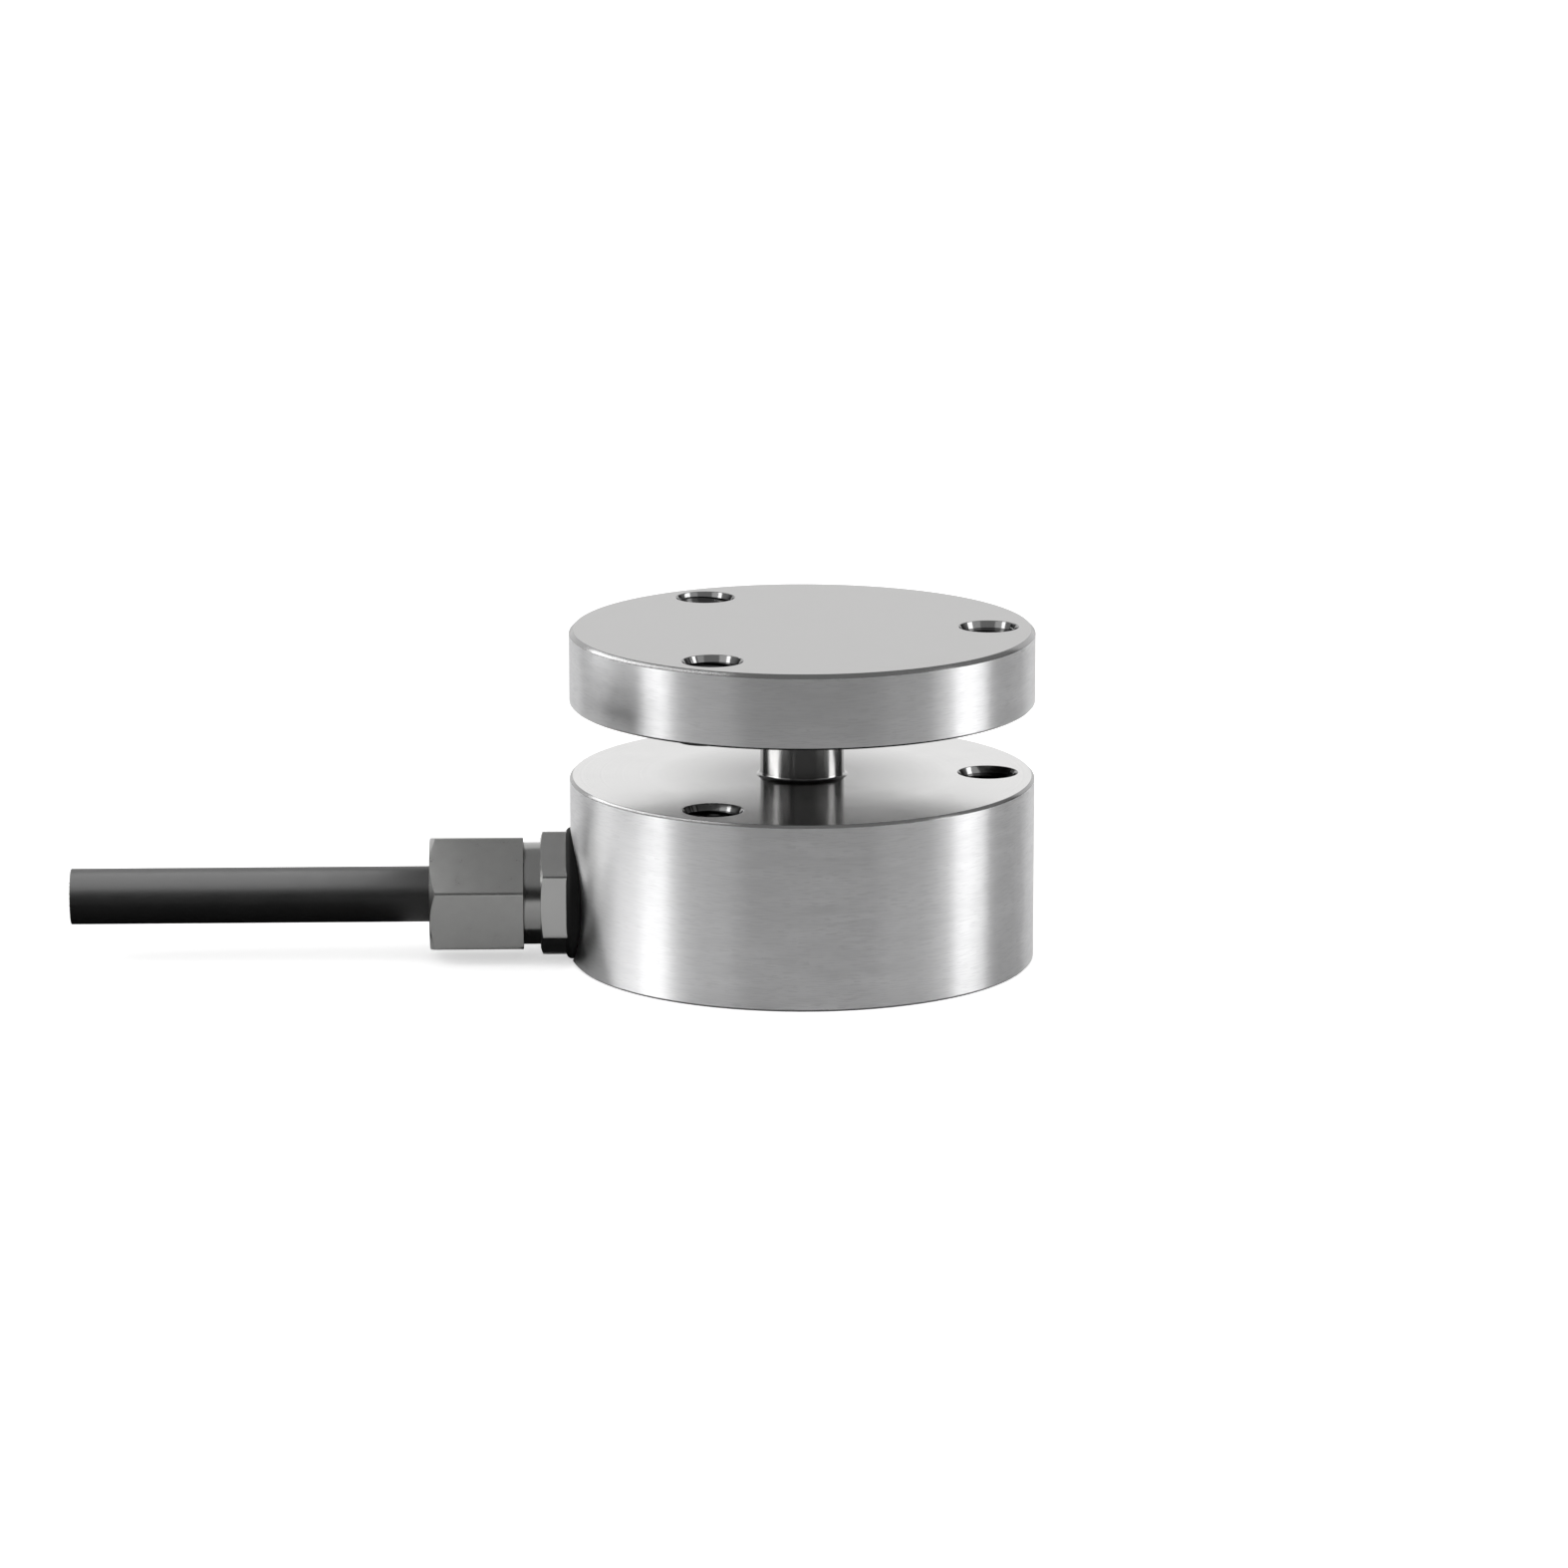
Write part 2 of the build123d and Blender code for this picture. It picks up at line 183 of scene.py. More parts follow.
def join(pieces: list[Object], name: str) -> Object:
    """Make one object of several.

    Args:
        pieces: The objects, the first of which is kept.
        name: The name that it gets.

    Returns:
        The joined object.
    """
    deselect_all()
    for piece in pieces:
        piece.select_set(True)
    bpy.context.view_layer.objects.active = pieces[0]
    bpy.ops.object.join()
    pieces[0].name = name
    return pieces[0]


def copy_of(piece: Object, place: Matrix) -> Object:
    """Copy a piece with its own mesh to another place.

    Args:
        piece: The object to copy.
        place: Where the copy's mesh goes.

    Returns:
        The copy, its place in its mesh.
    """
    twin = piece.copy()
    twin.data = piece.data.copy()
    twin.data.transform(place)
    bpy.context.collection.objects.link(twin)
    return twin


def crisp(piece: Object, angle: float = 30.0, level_faces: bool = False) -> None:
    """Shade a piece smooth up to an angle, with flat faces kept flat.

    Args:
        piece: The object to finish.
        angle: The angle in degrees past which an edge stays sharp.
        level_faces: True if the outline of each level face stays sharp as well.
    """
    pick(piece)
    bpy.ops.object.shade_smooth_by_angle(angle=math.radians(angle))
    if level_faces:
        part_level_faces(piece)
        pick(piece)
    weighted = piece.modifiers.new("weighted", "WEIGHTED_NORMAL")
    weighted.mode = "FACE_AREA"
    weighted.weight = 80
    weighted.keep_sharp = True
    bpy.ops.object.modifier_apply(modifier=weighted.name)


def part_level_faces(piece: Object) -> None:
    """Mark the outline of the level faces sharp, so that they shade flat up to their edges.

    Args:
        piece: The object to mark.
    """
    with editing(piece):
        select_faces(piece, lambda centre, normal: abs(normal.z) > 0.9999)
        bpy.ops.mesh.region_to_loop()
        bpy.ops.mesh.mark_sharp()


def rounded(corners: list[tuple[float, float, float]], steps: int = 3) -> list[Station]:
    """Put small arcs at the corners of an open profile.

    Args:
        corners: Radius, height and edge radius of each corner, in millimetres.
        steps: Facets of each arc.

    Returns:
        The profile's points, radius and height, in millimetres.
    """
    points: list[Station] = []
    last = len(corners) - 1
    for index, (radius, height, edge) in enumerate(corners):
        if edge <= 0 or index in (0, last):
            points.append((radius, height))
            continue
        here = Vector((radius, height))
        back = Vector(corners[index - 1][:2]) - here
        ahead = Vector(corners[index + 1][:2]) - here
        turn = math.pi - back.angle(ahead)
        reach = edge * math.tan(turn / 2)
        start = here + back.normalized() * reach
        end = here + ahead.normalized() * reach
        inward = (back.normalized() + ahead.normalized()).normalized()
        centre = here + inward * (edge / math.cos(turn / 2))
        swing = (start - centre).angle_signed(end - centre)
        for step in range(steps + 1):
            spoke = start - centre
            spoke.rotate(Matrix.Rotation(-swing * step / steps, 2))
            points.append(tuple(centre + spoke))
    return points


def circle(radius: float, count: int) -> list[Station]:
    """Space points evenly on a circle, the first one on the first axis."""
    angles = (2 * math.pi * index / count for index in range(count))
    return [(radius * math.cos(angle), radius * math.sin(angle)) for angle in angles]


def turn(name: str, profile: list[Station], segments: int = 192, ring: bool = False) -> Object:
    """Turn a solid about the Z axis: one rim is drawn and extruded from point to point.

    Args:
        name: The object's name.
        profile: Radius and height of each point, in millimetres.
        segments: Sides of the rim.
        ring: True if the profile is a closed loop round a hole.

    Returns:
        The closed solid.
    """
    deselect_all()
    radius, height = profile[0]
    bpy.ops.mesh.primitive_circle_add(
        vertices=segments,
        radius=radius * MM,
        fill_type="NOTHING" if ring else "NGON",
        location=(0, 0, height * MM),
    )
    piece = bpy.context.object
    piece.name = name
    bpy.ops.object.transform_apply(location=True, rotation=False, scale=False)
    with editing(piece):
        for next_radius, next_height in profile[1:] + (profile[:1] if ring else []):
            lift = (0, 0, (next_height - height) * MM)
            if ring:
                bpy.ops.mesh.extrude_edges_move(TRANSFORM_OT_translate={"value": lift})
            else:
                bpy.ops.mesh.extrude_region_move(TRANSFORM_OT_translate={"value": lift})
            grow = next_radius / radius
            bpy.ops.transform.resize(value=(grow, grow, 1), center_override=(0, 0, next_height * MM))
            radius, height = next_radius, next_height
    mend_normals(piece)
    return piece


def cylinder(name: str, radius: float, low: float, high: float, sides: int = 96) -> Object:
    """Plain round cutter along the Z axis.

    Args:
        name: The object's name.
        radius: Its radius in millimetres.
        low: Its lower end in millimetres.
        high: Its upper end in millimetres.
        sides: Its number of sides.

    Returns:
        The cutter, its place in its mesh.
    """
    deselect_all()
    bpy.ops.mesh.primitive_cylinder_add(
        vertices=sides,
        radius=radius * MM,
        depth=(high - low) * MM,
        location=(0, 0, (low + high) / 2 * MM),
    )
    piece = bpy.context.object
    piece.name = name
    bpy.ops.object.transform_apply(location=True, rotation=False, scale=False)
    return piece


def material(name: str) -> tuple[Material, NodeTree, Node]:
    """New material with its Principled shader.

    Args:
        name: The material's name.

    Returns:
        The material, its node tree and its shader node.
    """
    made = bpy.data.materials.new(name)
    made.use_nodes = True
    tree = made.node_tree
    shader = tree.nodes["Principled BSDF"]
    return made, tree, shader


def surface_group(name: str, inputs: dict[str, float], outputs: tuple[str, ...]) -> NodeTree:
    """Empty shader group with number inputs and number outputs.

    Args:
        name: The group's name.
        inputs: Each input's name and usual value.
        outputs: Each output's name.

    Returns:
        The group, with its input and output nodes in place.
    """
    group = bpy.data.node_groups.new(name, "ShaderNodeTree")
    for socket, value in inputs.items():
        made = group.interface.new_socket(socket, in_out="INPUT", socket_type="NodeSocketFloat")
        made.default_value = value
    for socket in outputs:
        group.interface.new_socket(socket, in_out="OUTPUT", socket_type="NodeSocketFloat")
    group.nodes.new("NodeGroupInput")
    group.nodes.new("NodeGroupOutput")
    return group


def link(tree: NodeTree, source: NodeSocket, target: NodeSocket) -> None:
    """Join two sockets of a tree."""
    tree.links.new(source, target)


def maths(tree: NodeTree, operation: str, first: object, second: object = None) -> NodeSocket:
    """Add a Math node whose operands are sockets or numbers.

    Args:
        tree: The tree that gets the node.
        operation: The node's operation.
        first: Its first operand.
        second: Its second operand, if it has one.

    Returns:
        The node's result.
    """
    node = tree.nodes.new("ShaderNodeMath")
    node.operation = operation
    for socket, operand in zip(node.inputs, (first, second)):
        if isinstance(operand, NodeSocket):
            link(tree, operand, socket)
        elif operand is not None:
            socket.default_value = operand
    return node.outputs[0]


def streaks(tree: NodeTree, stretch: Stretch, detail: float = 3.0) -> NodeSocket:
    """Add a stretched noise on Object coordinates.

    Args:
        tree: The tree that gets the nodes.
        stretch: Noise cells per metre along X, Y and Z.
        detail: Octaves of the noise.

    Returns:
        The noise, from 0 to 1 about 0.5.
    """
    place = tree.nodes.new("ShaderNodeTexCoord")
    mapping = tree.nodes.new("ShaderNodeMapping")
    mapping.inputs["Scale"].default_value = stretch
    noise = tree.nodes.new("ShaderNodeTexNoise")
    noise.inputs["Scale"].default_value = 1.0
    noise.inputs["Detail"].default_value = detail
    link(tree, place.outputs["Object"], mapping.inputs["Vector"])
    link(tree, mapping.outputs["Vector"], noise.inputs["Vector"])
    return noise.outputs["Fac"]


def span(tree: NodeTree, value: NodeSocket, low: float, high: float) -> NodeSocket:
    """Spread a noise value, 0.3 to 0.7, over a range.

    Args:
        tree: The tree that gets the node.
        value: The noise.
        low: The result at 0.3.
        high: The result at 0.7.

    Returns:
        The spread value.
    """
    node = tree.nodes.new("ShaderNodeMapRange")
    node.inputs["From Min"].default_value = 0.3
    node.inputs["From Max"].default_value = 0.7
    node.inputs["To Min"].default_value = low
    node.inputs["To Max"].default_value = high
    link(tree, value, node.inputs["Value"])
    return node.outputs["Result"]


def tinted(tree: NodeTree, base: Colour, shade: NodeSocket) -> NodeSocket:
    """Multiply a base colour by a shade that changes over the surface.

    Args:
        tree: The tree that gets the nodes.
        base: The colour.
        shade: The factor.

    Returns:
        The shaded colour.
    """
    mix = tree.nodes.new("ShaderNodeVectorMath")
    mix.operation = "SCALE"
    mix.inputs[0].default_value = base
    link(tree, shade, mix.inputs["Scale"])
    return mix.outputs["Vector"]


def relief(tree: NodeTree, height: NodeSocket, depth: float) -> NodeSocket:
    """Add a bump of a given depth.

    Args:
        tree: The tree that gets the node.
        height: The height from 0 to 1.
        depth: The depth in millimetres of a height of 1.

    Returns:
        The bumped normal.
    """
    bump = tree.nodes.new("ShaderNodeBump")
    bump.inputs["Strength"].default_value = 1.0
    bump.inputs["Distance"].default_value = depth * MM
    link(tree, height, bump.inputs["Height"])
    return bump.outputs["Normal"]


def lay_on(tree: NodeTree, shader: Node, colour: NodeSocket, rough: NodeSocket, normal: NodeSocket) -> None:
    """Join a finish's colour, roughness and normal to its shader."""
    for name, source in (("Base Color", colour), ("Roughness", rough), ("Normal", normal)):
        link(tree, source, shader.inputs[name])


def brush_round_axis(tree: NodeTree, shader: Node, directional: float) -> None:
    """Smear a shader's reflections across grooves that run round the load axis.

    Args:
        tree: The material's tree.
        shader: Its shader.
        directional: How much they smear, from 0 to 1.
    """
    tangent = tree.nodes.new("ShaderNodeTangent")
    tangent.direction_type = "RADIAL"
    tangent.axis = "Z"
    link(tree, tangent.outputs["Tangent"], shader.inputs["Tangent"])
    shader.inputs["Anisotropic"].default_value = directional
    shader.inputs["Anisotropic Rotation"].default_value = 0.25


@dataclass(frozen=True)
class RoundGrooves:
    """Tool marks that run round the load axis: fine grooves, streaks and wide bands."""

    groove: float = 0.055
    streak: float = 1.1
    band: float = 0.5
    medium: Range = (0.6, 4.0)
    wide: float = 0.3
    dash: Range = (0.7, 0.05)
    dash_start: float = 0.6
    dash_weight: float = 8.0

    def group(self) -> NodeTree:
        """Build the shader group once and reuse it.

        Returns:
            A group with a Height and a Shade, each about 0.5.
        """
        name = "round_grooves"
        if name in bpy.data.node_groups:
            return bpy.data.node_groups[name]
        group = surface_group(name, {"Streak weight": 0.5}, ("Height", "Shade"))
        along = 1 / (self.streak * MM)
        share, times = self.medium
        fine = streaks(group, (along, along, 1 / (self.groove * MM)), 2.0)
        medium = streaks(group, (along * share, along * share, 1 / (self.groove * times * MM)), 3.0)
        wide = streaks(group, (along * self.wide, along * self.wide, 1 / (self.band * MM)), 2.0)
        weight = group.nodes["Group Input"].outputs["Streak weight"]
        strong = maths(group, "MULTIPLY", medium, weight)
        rest = maths(group, "MULTIPLY", fine, maths(group, "SUBTRACT", 1.0, weight))
        height = maths(group, "ADD", strong, rest)
        shade = maths(group, "MULTIPLY", maths(group, "ADD", height, wide), 0.5)
        long, thin = self.dash
        dash = streaks(group, (1 / (long * MM), 1 / (long * MM), 1 / (thin * MM)), 0.0)
        dash = maths(group, "MAXIMUM", maths(group, "SUBTRACT", dash, self.dash_start), 0.0)
        shade = maths(group, "SUBTRACT", shade, maths(group, "MULTIPLY", dash, self.dash_weight))
        sockets = group.nodes["Group Output"].inputs
        link(group, height, sockets["Height"])
        link(group, shade, sockets["Shade"])
        return group


@dataclass(frozen=True)
class BrushedSide:
    """Side faces, brushed round the axis: they smear reflections up and down only."""

    name: str = "brushed_side"
    colour: Colour = (0.68, 0.68, 0.685)
    tint: Range = (0.94, 1.05)
    roughness: Range = (0.43, 0.35)
    directional: float = 1.0
    streak_weight: float = 0.55
    groove_depth: float = 0.0012

    def build(self) -> Material:
        """Build the material.

        Returns:
            The material.
        """
        made, tree, shader = material(self.name)
        marks = tree.nodes.new("ShaderNodeGroup")
        marks.node_tree = RoundGrooves().group()
        marks.inputs["Streak weight"].default_value = self.streak_weight
        shade = marks.outputs["Shade"]
        colour = tinted(tree, self.colour, span(tree, shade, *self.tint))
        normal = relief(tree, marks.outputs["Height"], self.groove_depth)
        lay_on(tree, shader, colour, span(tree, shade, *self.roughness), normal)
        shader.inputs["Metallic"].default_value = 1.0
        brush_round_axis(tree, shader, self.directional)
        return made


@dataclass(frozen=True)
class LappedFace:
    """Loading face, lapped flat: satin, faintly clouded, with stray fine scratches."""

    name: str = "lapped_face"
    colour: Colour = (0.50, 0.496, 0.492)
    tint: Range = (0.93, 1.05)
    roughness: Range = (0.31, 0.35)
    cloud: float = 1.6
    scratches: tuple[Stretch, Stretch] = ((3000.0, 26000.0, 1000.0), (22000.0, 5000.0, 1000.0))
    scratch_depth: float = 0.0012

    def build(self) -> Material:
        """Build the material.

        Returns:
            The material.
        """
        made, tree, shader = material(self.name)
        cells = 1 / (self.cloud * MM)
        cloud = streaks(tree, (cells, cells, cells), 5.0)
        across, along = (streaks(tree, stretch, 2.0) for stretch in self.scratches)
        lay = maths(tree, "MULTIPLY", maths(tree, "ADD", across, along), 0.5)
        shade = maths(tree, "MULTIPLY", maths(tree, "ADD", cloud, lay), 0.5)
        colour = tinted(tree, self.colour, span(tree, shade, *self.tint))
        normal = relief(tree, lay, self.scratch_depth)
        lay_on(tree, shader, colour, span(tree, cloud, *self.roughness), normal)
        shader.inputs["Metallic"].default_value = 1.0
        return made


@dataclass(frozen=True)
class LathedFace:
    """Inner faces of the gap, turned and half polished, with rings from the tool.

    Their colour is darkened towards the neck: painted shade for the other face that hangs over them all
    round.
    """

    name: str = "lathed_face"
    colour: Colour = (0.69, 0.685, 0.68)
    tint: Range = (0.93, 1.04)
    roughness: float = 0.14
    rough_change: Range = (-0.03, 0.05)
    painted_shade_radii: Range = (3.0, 8.0)
    painted_shade_share: float = 0.42
    directional: float = 0.3
    ring: float = 0.12
    ring_depth: float = 0.0008
    cloud: float = 2.0

    def build(self) -> Material:
        """Build the material.

        Returns:
            The material.
        """
        made, tree, shader = material(self.name)
        place = tree.nodes.new("ShaderNodeTexCoord")
        parts = tree.nodes.new("ShaderNodeSeparateXYZ")
        link(tree, place.outputs["Object"], parts.inputs["Vector"])
        square_x = maths(tree, "MULTIPLY", parts.outputs["X"], parts.outputs["X"])
        square_y = maths(tree, "MULTIPLY", parts.outputs["Y"], parts.outputs["Y"])
        radius = maths(tree, "SQRT", maths(tree, "ADD", square_x, square_y))
        rings = tree.nodes.new("ShaderNodeTexNoise")
        rings.noise_dimensions = "1D"
        rings.inputs["Scale"].default_value = 1 / (self.ring * MM)
        rings.inputs["Detail"].default_value = 3.0
        link(tree, radius, rings.inputs["W"])
        cells = 1 / (self.cloud * MM)
        cloud = streaks(tree, (cells, cells, cells), 4.0)
        shade = maths(tree, "MULTIPLY", maths(tree, "ADD", rings.outputs["Fac"], cloud), 0.5)
        # painted shade: the colour darkens towards the neck, for the shade under the overhanging face
        neck_shade_ramp = tree.nodes.new("ShaderNodeMapRange")
        for socket, reach in zip(("From Min", "From Max"), self.painted_shade_radii):
            neck_shade_ramp.inputs[socket].default_value = reach * MM
        neck_shade_ramp.inputs["To Min"].default_value = self.painted_shade_share
        link(tree, radius, neck_shade_ramp.inputs["Value"])
        value = maths(tree, "MULTIPLY", span(tree, shade, *self.tint), neck_shade_ramp.outputs["Result"])
        rough = span(tree, shade, *(self.roughness + change for change in self.rough_change))
        normal = relief(tree, rings.outputs["Fac"], self.ring_depth)
        lay_on(tree, shader, tinted(tree, self.colour, value), rough, normal)
        shader.inputs["Metallic"].default_value = 1.0
        brush_round_axis(tree, shader, self.directional)
        return made


@dataclass(frozen=True)
class PlainMetal:
    """Metal with an even, slightly clouded finish: neck, threads, plated gland, wires."""

    name: str
    colour: Colour
    roughness: float
    cloud: float = 0.8
    change: float = 0.05
    grain: Stretch = (9000.0, 30000.0, 30000.0)
    grain_depth: float = 0.0004

    def build(self) -> Material:
        """Build the material.

        Returns:
            The material.
        """
        made, tree, shader = material(self.name)
        cells = 1 / (self.cloud * MM)
        cloud = streaks(tree, (cells, cells, cells), 2.0)
        grain = streaks(tree, self.grain, 2.0)
        shade = maths(tree, "MULTIPLY", maths(tree, "ADD", cloud, grain), 0.5)
        colour = tinted(tree, self.colour, span(tree, shade, 1 - self.change, 1 + self.change))
        smooth, rough = (self.roughness * (1 + side * 2 * self.change) for side in (-1, 1))
        lay_on(tree, shader, colour, span(tree, shade, smooth, rough), relief(tree, grain, self.grain_depth))
        shader.inputs["Metallic"].default_value = 1.0
        return made


@dataclass(frozen=True)
class StrandBundle:
    """Fine wires or fibres that run along the cable and show as dots where it is cut, with painted shade
    where they meet.
    """

    name: str
    colour: Colour
    roughness: float
    metallic: float
    strand: float
    stretch: ClassVar[Stretch] = (0.05, 1.0, 1.0)
    shade_power: ClassVar[float] = 1.5

    def group(self) -> NodeTree:
        """Build the shader group once and reuse it.

        Returns:
            A group with a Height and a Shade that fall where strands meet.
        """
        name = "strand_bundle"
        if name in bpy.data.node_groups:
            return bpy.data.node_groups[name]
        group = surface_group(name, {"Strands per metre": 10000.0}, ("Height", "Shade"))
        place = group.nodes.new("ShaderNodeTexCoord")
        mapping = group.nodes.new("ShaderNodeMapping")
        mapping.inputs["Scale"].default_value = self.stretch
        cells = group.nodes.new("ShaderNodeTexVoronoi")
        link(group, place.outputs["Object"], mapping.inputs["Vector"])
        link(group, mapping.outputs["Vector"], cells.inputs["Vector"])
        link(group, group.nodes["Group Input"].outputs["Strands per metre"], cells.inputs["Scale"])
        height = maths(group, "SUBTRACT", 1.0, cells.outputs["Distance"])
        sockets = group.nodes["Group Output"].inputs
        link(group, height, sockets["Height"])
        # painted shade: the shade falls towards each strand's edge, where it meets the next
        link(group, maths(group, "POWER", height, self.shade_power), sockets["Shade"])
        return group

    def build(self) -> Material:
        """Build the material.

        Returns:
            The material.
        """
        made, tree, shader = material(self.name)
        strands = tree.nodes.new("ShaderNodeGroup")
        strands.node_tree = self.group()
        strands.inputs["Strands per metre"].default_value = 1 / (self.strand * MM)
        # the painted shade between the strands darkens the colour
        link(tree, tinted(tree, self.colour, strands.outputs["Shade"]), shader.inputs["Base Color"])
        link(tree, relief(tree, strands.outputs["Height"], self.strand / 3), shader.inputs["Normal"])
        shader.inputs["Roughness"].default_value = self.roughness
        shader.inputs["Metallic"].default_value = self.metallic
        return made


@dataclass(frozen=True)
class SoftPolymer:
    """Rubber, cable jacket, insulation and laminate: a clouded colour and a fine grain."""

    name: str
    colour: Colour
    roughness: float
    stretch: Stretch = (9000.0, 9000.0, 9000.0)
    cloud: Stretch = (700.0, 700.0, 700.0)
    change: float = 0.12
    rough_change: float = 0.05
    grain_depth: float = 0.002
    specular: float = 0.5

    def build(self) -> Material:
        """Build the material.

        Returns:
            The material.
        """
        made, tree, shader = material(self.name)
        grain = streaks(tree, self.stretch, 3.0)
        cloud = streaks(tree, self.cloud, 3.0)
        shade = maths(tree, "MULTIPLY", maths(tree, "ADD", cloud, grain), 0.5)
        colour = tinted(tree, self.colour, span(tree, shade, 1 - self.change, 1 + self.change))
        smooth, rough = (self.roughness + side * self.rough_change for side in (-1, 1))
        lay_on(tree, shader, colour, span(tree, shade, smooth, rough), relief(tree, grain, self.grain_depth))
        shader.inputs["Specular IOR Level"].default_value = self.specular
        return made


@dataclass
class StudioCamera:
    """Camera at the photograph's viewing angle, fitted to the rims of the two discs."""

    distance_back: float = 344.68
    offset_left: float = 0.974
    height: float = 87.19
    pitch: float = 12.715
    clocking: float = 1.9
    lens: float = 150.7
    sensor: float = 36.0

    def place(self) -> None:
        """Make the scene's camera."""
        around = Matrix.Rotation(math.radians(-self.clocking), 4, "Z")
        data = bpy.data.cameras.new("studio_camera")
        data.sensor_width = self.sensor
        data.lens = self.lens
        data.clip_start = 0.01
        data.clip_end = 20.0
        camera = bpy.data.objects.new("studio_camera", data)
        spot = Vector((-self.offset_left, -self.distance_back, self.height)) * MM
        tilt = Matrix.Rotation(math.radians(90 - self.pitch), 4, "X")
        camera.matrix_world = around @ Matrix.Translation(spot) @ tilt
        bpy.context.scene.collection.objects.link(camera)
        bpy.context.scene.camera = camera


@dataclass
class SensingBody:
    """Flange, neck, diaphragm and outer ring in one turned piece, with tapped holes.

    The last nine values, level to near, are how a face's material, a lathe finish or a darker copy with
    painted shade, is told from its tilt and place.
    """

    radius: float = 12.5
    body_height: float = 10.0
    gap: float = 4.0
    height: float = 18.0
    neck_radius: float = 2.25
    neck_fillet: float = 0.22
    chamfers: tuple[float, float, float, float] = (0.12, 0.15, 0.12, 0.22)
    edge: float = 0.03
    top_edge: float = 0.08
    boss: Station = (2.6, 7.2)
    roof: Station = (7.15, 8.4)
    ledge: Station = (7.75, 6.6)
    recess: Station = (8.3, 1.0)
    bolt_circle: float = 10.0
    bolt_count: int = 3
    thread_minor: float = 1.25
    thread_major: float = 1.5
    thread_pitch: float = 0.5
    thread_rounding: float = 0.02
    thread_shares: tuple[float, float, float] = (0.04, 0.12, 0.46)
    thread_trim: float = 0.4
    thread_weld: float = 0.002
    inner_rounding: float = 0.25
    mouth_radius: float = 1.625
    mouth_slope: float = 60.0
    mouth_depth: float = 0.34
    lip: float = 0.06
    gland_height: float = 3.5
    spot_face: Station = (3.7, 11.9)
    gland_hole_radius: float = 2.5
    top_centre: float = 1.0
    level: float = 0.995
    mouth_tilt: float = 0.4
    side_tilt: float = 0.3
    mouth_share: float = 0.6
    rim_width: float = 0.3
    neck_reach: float = 0.5
    underside_band: float = 0.1
    ring_start: float = 11.0
    near: float = 0.05
    finishes: tuple = field(
        default_factory=lambda: (
            BrushedSide(),
            LappedFace(),
            LathedFace(),
            # painted shade: the neck is a darker copy of the steel, for the shade in the gap
            PlainMetal("polished_neck", (0.35, 0.348, 0.345), 0.18),
            # painted shade: the threads are a near-black copy of the steel, for the shade deep in the holes
            PlainMetal("cut_thread", (0.07, 0.07, 0.07), 0.18),
            # painted shade: the flange's underside is a dark copy of the lathed face, for the shade under
            # the flange
            LathedFace("flange_underside", (0.18, 0.18, 0.18), roughness=0.35),
            # painted dark reflection: the chamfers and rims are a darker copy of the steel, so that they
            # show as dark lines
            PlainMetal("turned_edge", (0.28, 0.28, 0.28), 0.18),
            # painted shade: the countersinks are a darker copy of the steel, for the dark hole mouths
            PlainMetal("countersink", (0.27, 0.27, 0.27), 0.12),
        )
    )

    def profile(self) -> list[Station]:
        """Work out the turning's profile, from the middle of the boss to the loading face."""
        rim, edge = self.radius, self.edge
        low, shelf, under, top = self.chamfers
        flange = self.body_height + self.gap
        corners = [
            (self.boss[0], self.boss[1], 0),
            (self.boss[0], self.roof[1], self.inner_rounding),
            (self.roof[0], self.roof[1], self.inner_rounding),
            (self.roof[0], self.ledge[1], 0),
            (self.ledge[0], self.ledge[1], 0),
            (self.ledge[0], self.recess[1], 0),
            (self.recess[0], self.recess[1], 0),
            (self.recess[0], 0, 0),
            (rim - low, 0, edge),
            (rim, low, edge),
            (rim, self.body_height - shelf, edge),
            (rim - shelf, self.body_height, edge),
            (self.neck_radius, self.body_height, self.neck_fillet),
            (self.neck_radius, flange, self.neck_fillet),
            (rim - under, flange, edge),
            (rim, flange + under, edge),
            (rim, self.height - top, edge),
            (rim - top, self.height, self.top_edge),
            (self.top_centre, self.height, 0),
        ]
        return rounded(corners, steps=4)

    def tap(self) -> Object:
        """Make one long threaded cutter on the Z axis."""
        pitch, minor, major = self.thread_pitch, self.thread_minor, self.thread_major
        low, high = -OVERSHOOT, self.height + OVERSHOOT
        crest, flank, root = self.thread_shares
        rise = [(minor, 0.0), (minor, crest), (minor + self.thread_rounding, flank), (major, root)]
        fall = [(radius, 1 - share) for radius, share in reversed(rise)]
        ridge = [(radius, share * pitch) for radius, share in rise + fall]
        deselect_all()
        bpy.ops.mesh.primitive_plane_add(size=MM, location=(minor * MM, 0, low * MM))
        piece = bpy.context.object
        piece.name = "tap"
        bpy.ops.object.transform_apply(location=True, rotation=False, scale=False)
        with editing(piece):
            bpy.ops.mesh.merge(type="CENTER")
            for (radius, height), (next_radius, next_height) in zip(ridge, ridge[1:]):
                step = ((next_radius - radius) * MM, 0, (next_height - height) * MM)
                bpy.ops.mesh.extrude_vertices_move(TRANSFORM_OT_translate={"value": step})
        screw = piece.modifiers.new("thread", "SCREW")
        screw.axis = "Z"
        screw.screw_offset = pitch * MM
        screw.iterations = round((high - low) / pitch)
        screw.steps = 40
        screw.render_steps = 40
        screw.use_merge_vertices = True
        screw.merge_threshold = 0.001 * MM
        bpy.ops.object.modifier_apply(modifier=screw.name)
        mend_normals(piece, self.thread_weld * MM)
        trim = self.thread_trim
        for level, side in ((-trim, "clear_inner"), (self.height + trim, "clear_outer")):
            with editing(piece):
                bpy.ops.mesh.bisect(
                    plane_co=(0, 0, level * MM),
                    plane_no=(0, 0, 1),
                    use_fill=True,
                    threshold=0.0001 * MM,
                    **{side: True},
                )
        mend_normals(piece)
        return piece

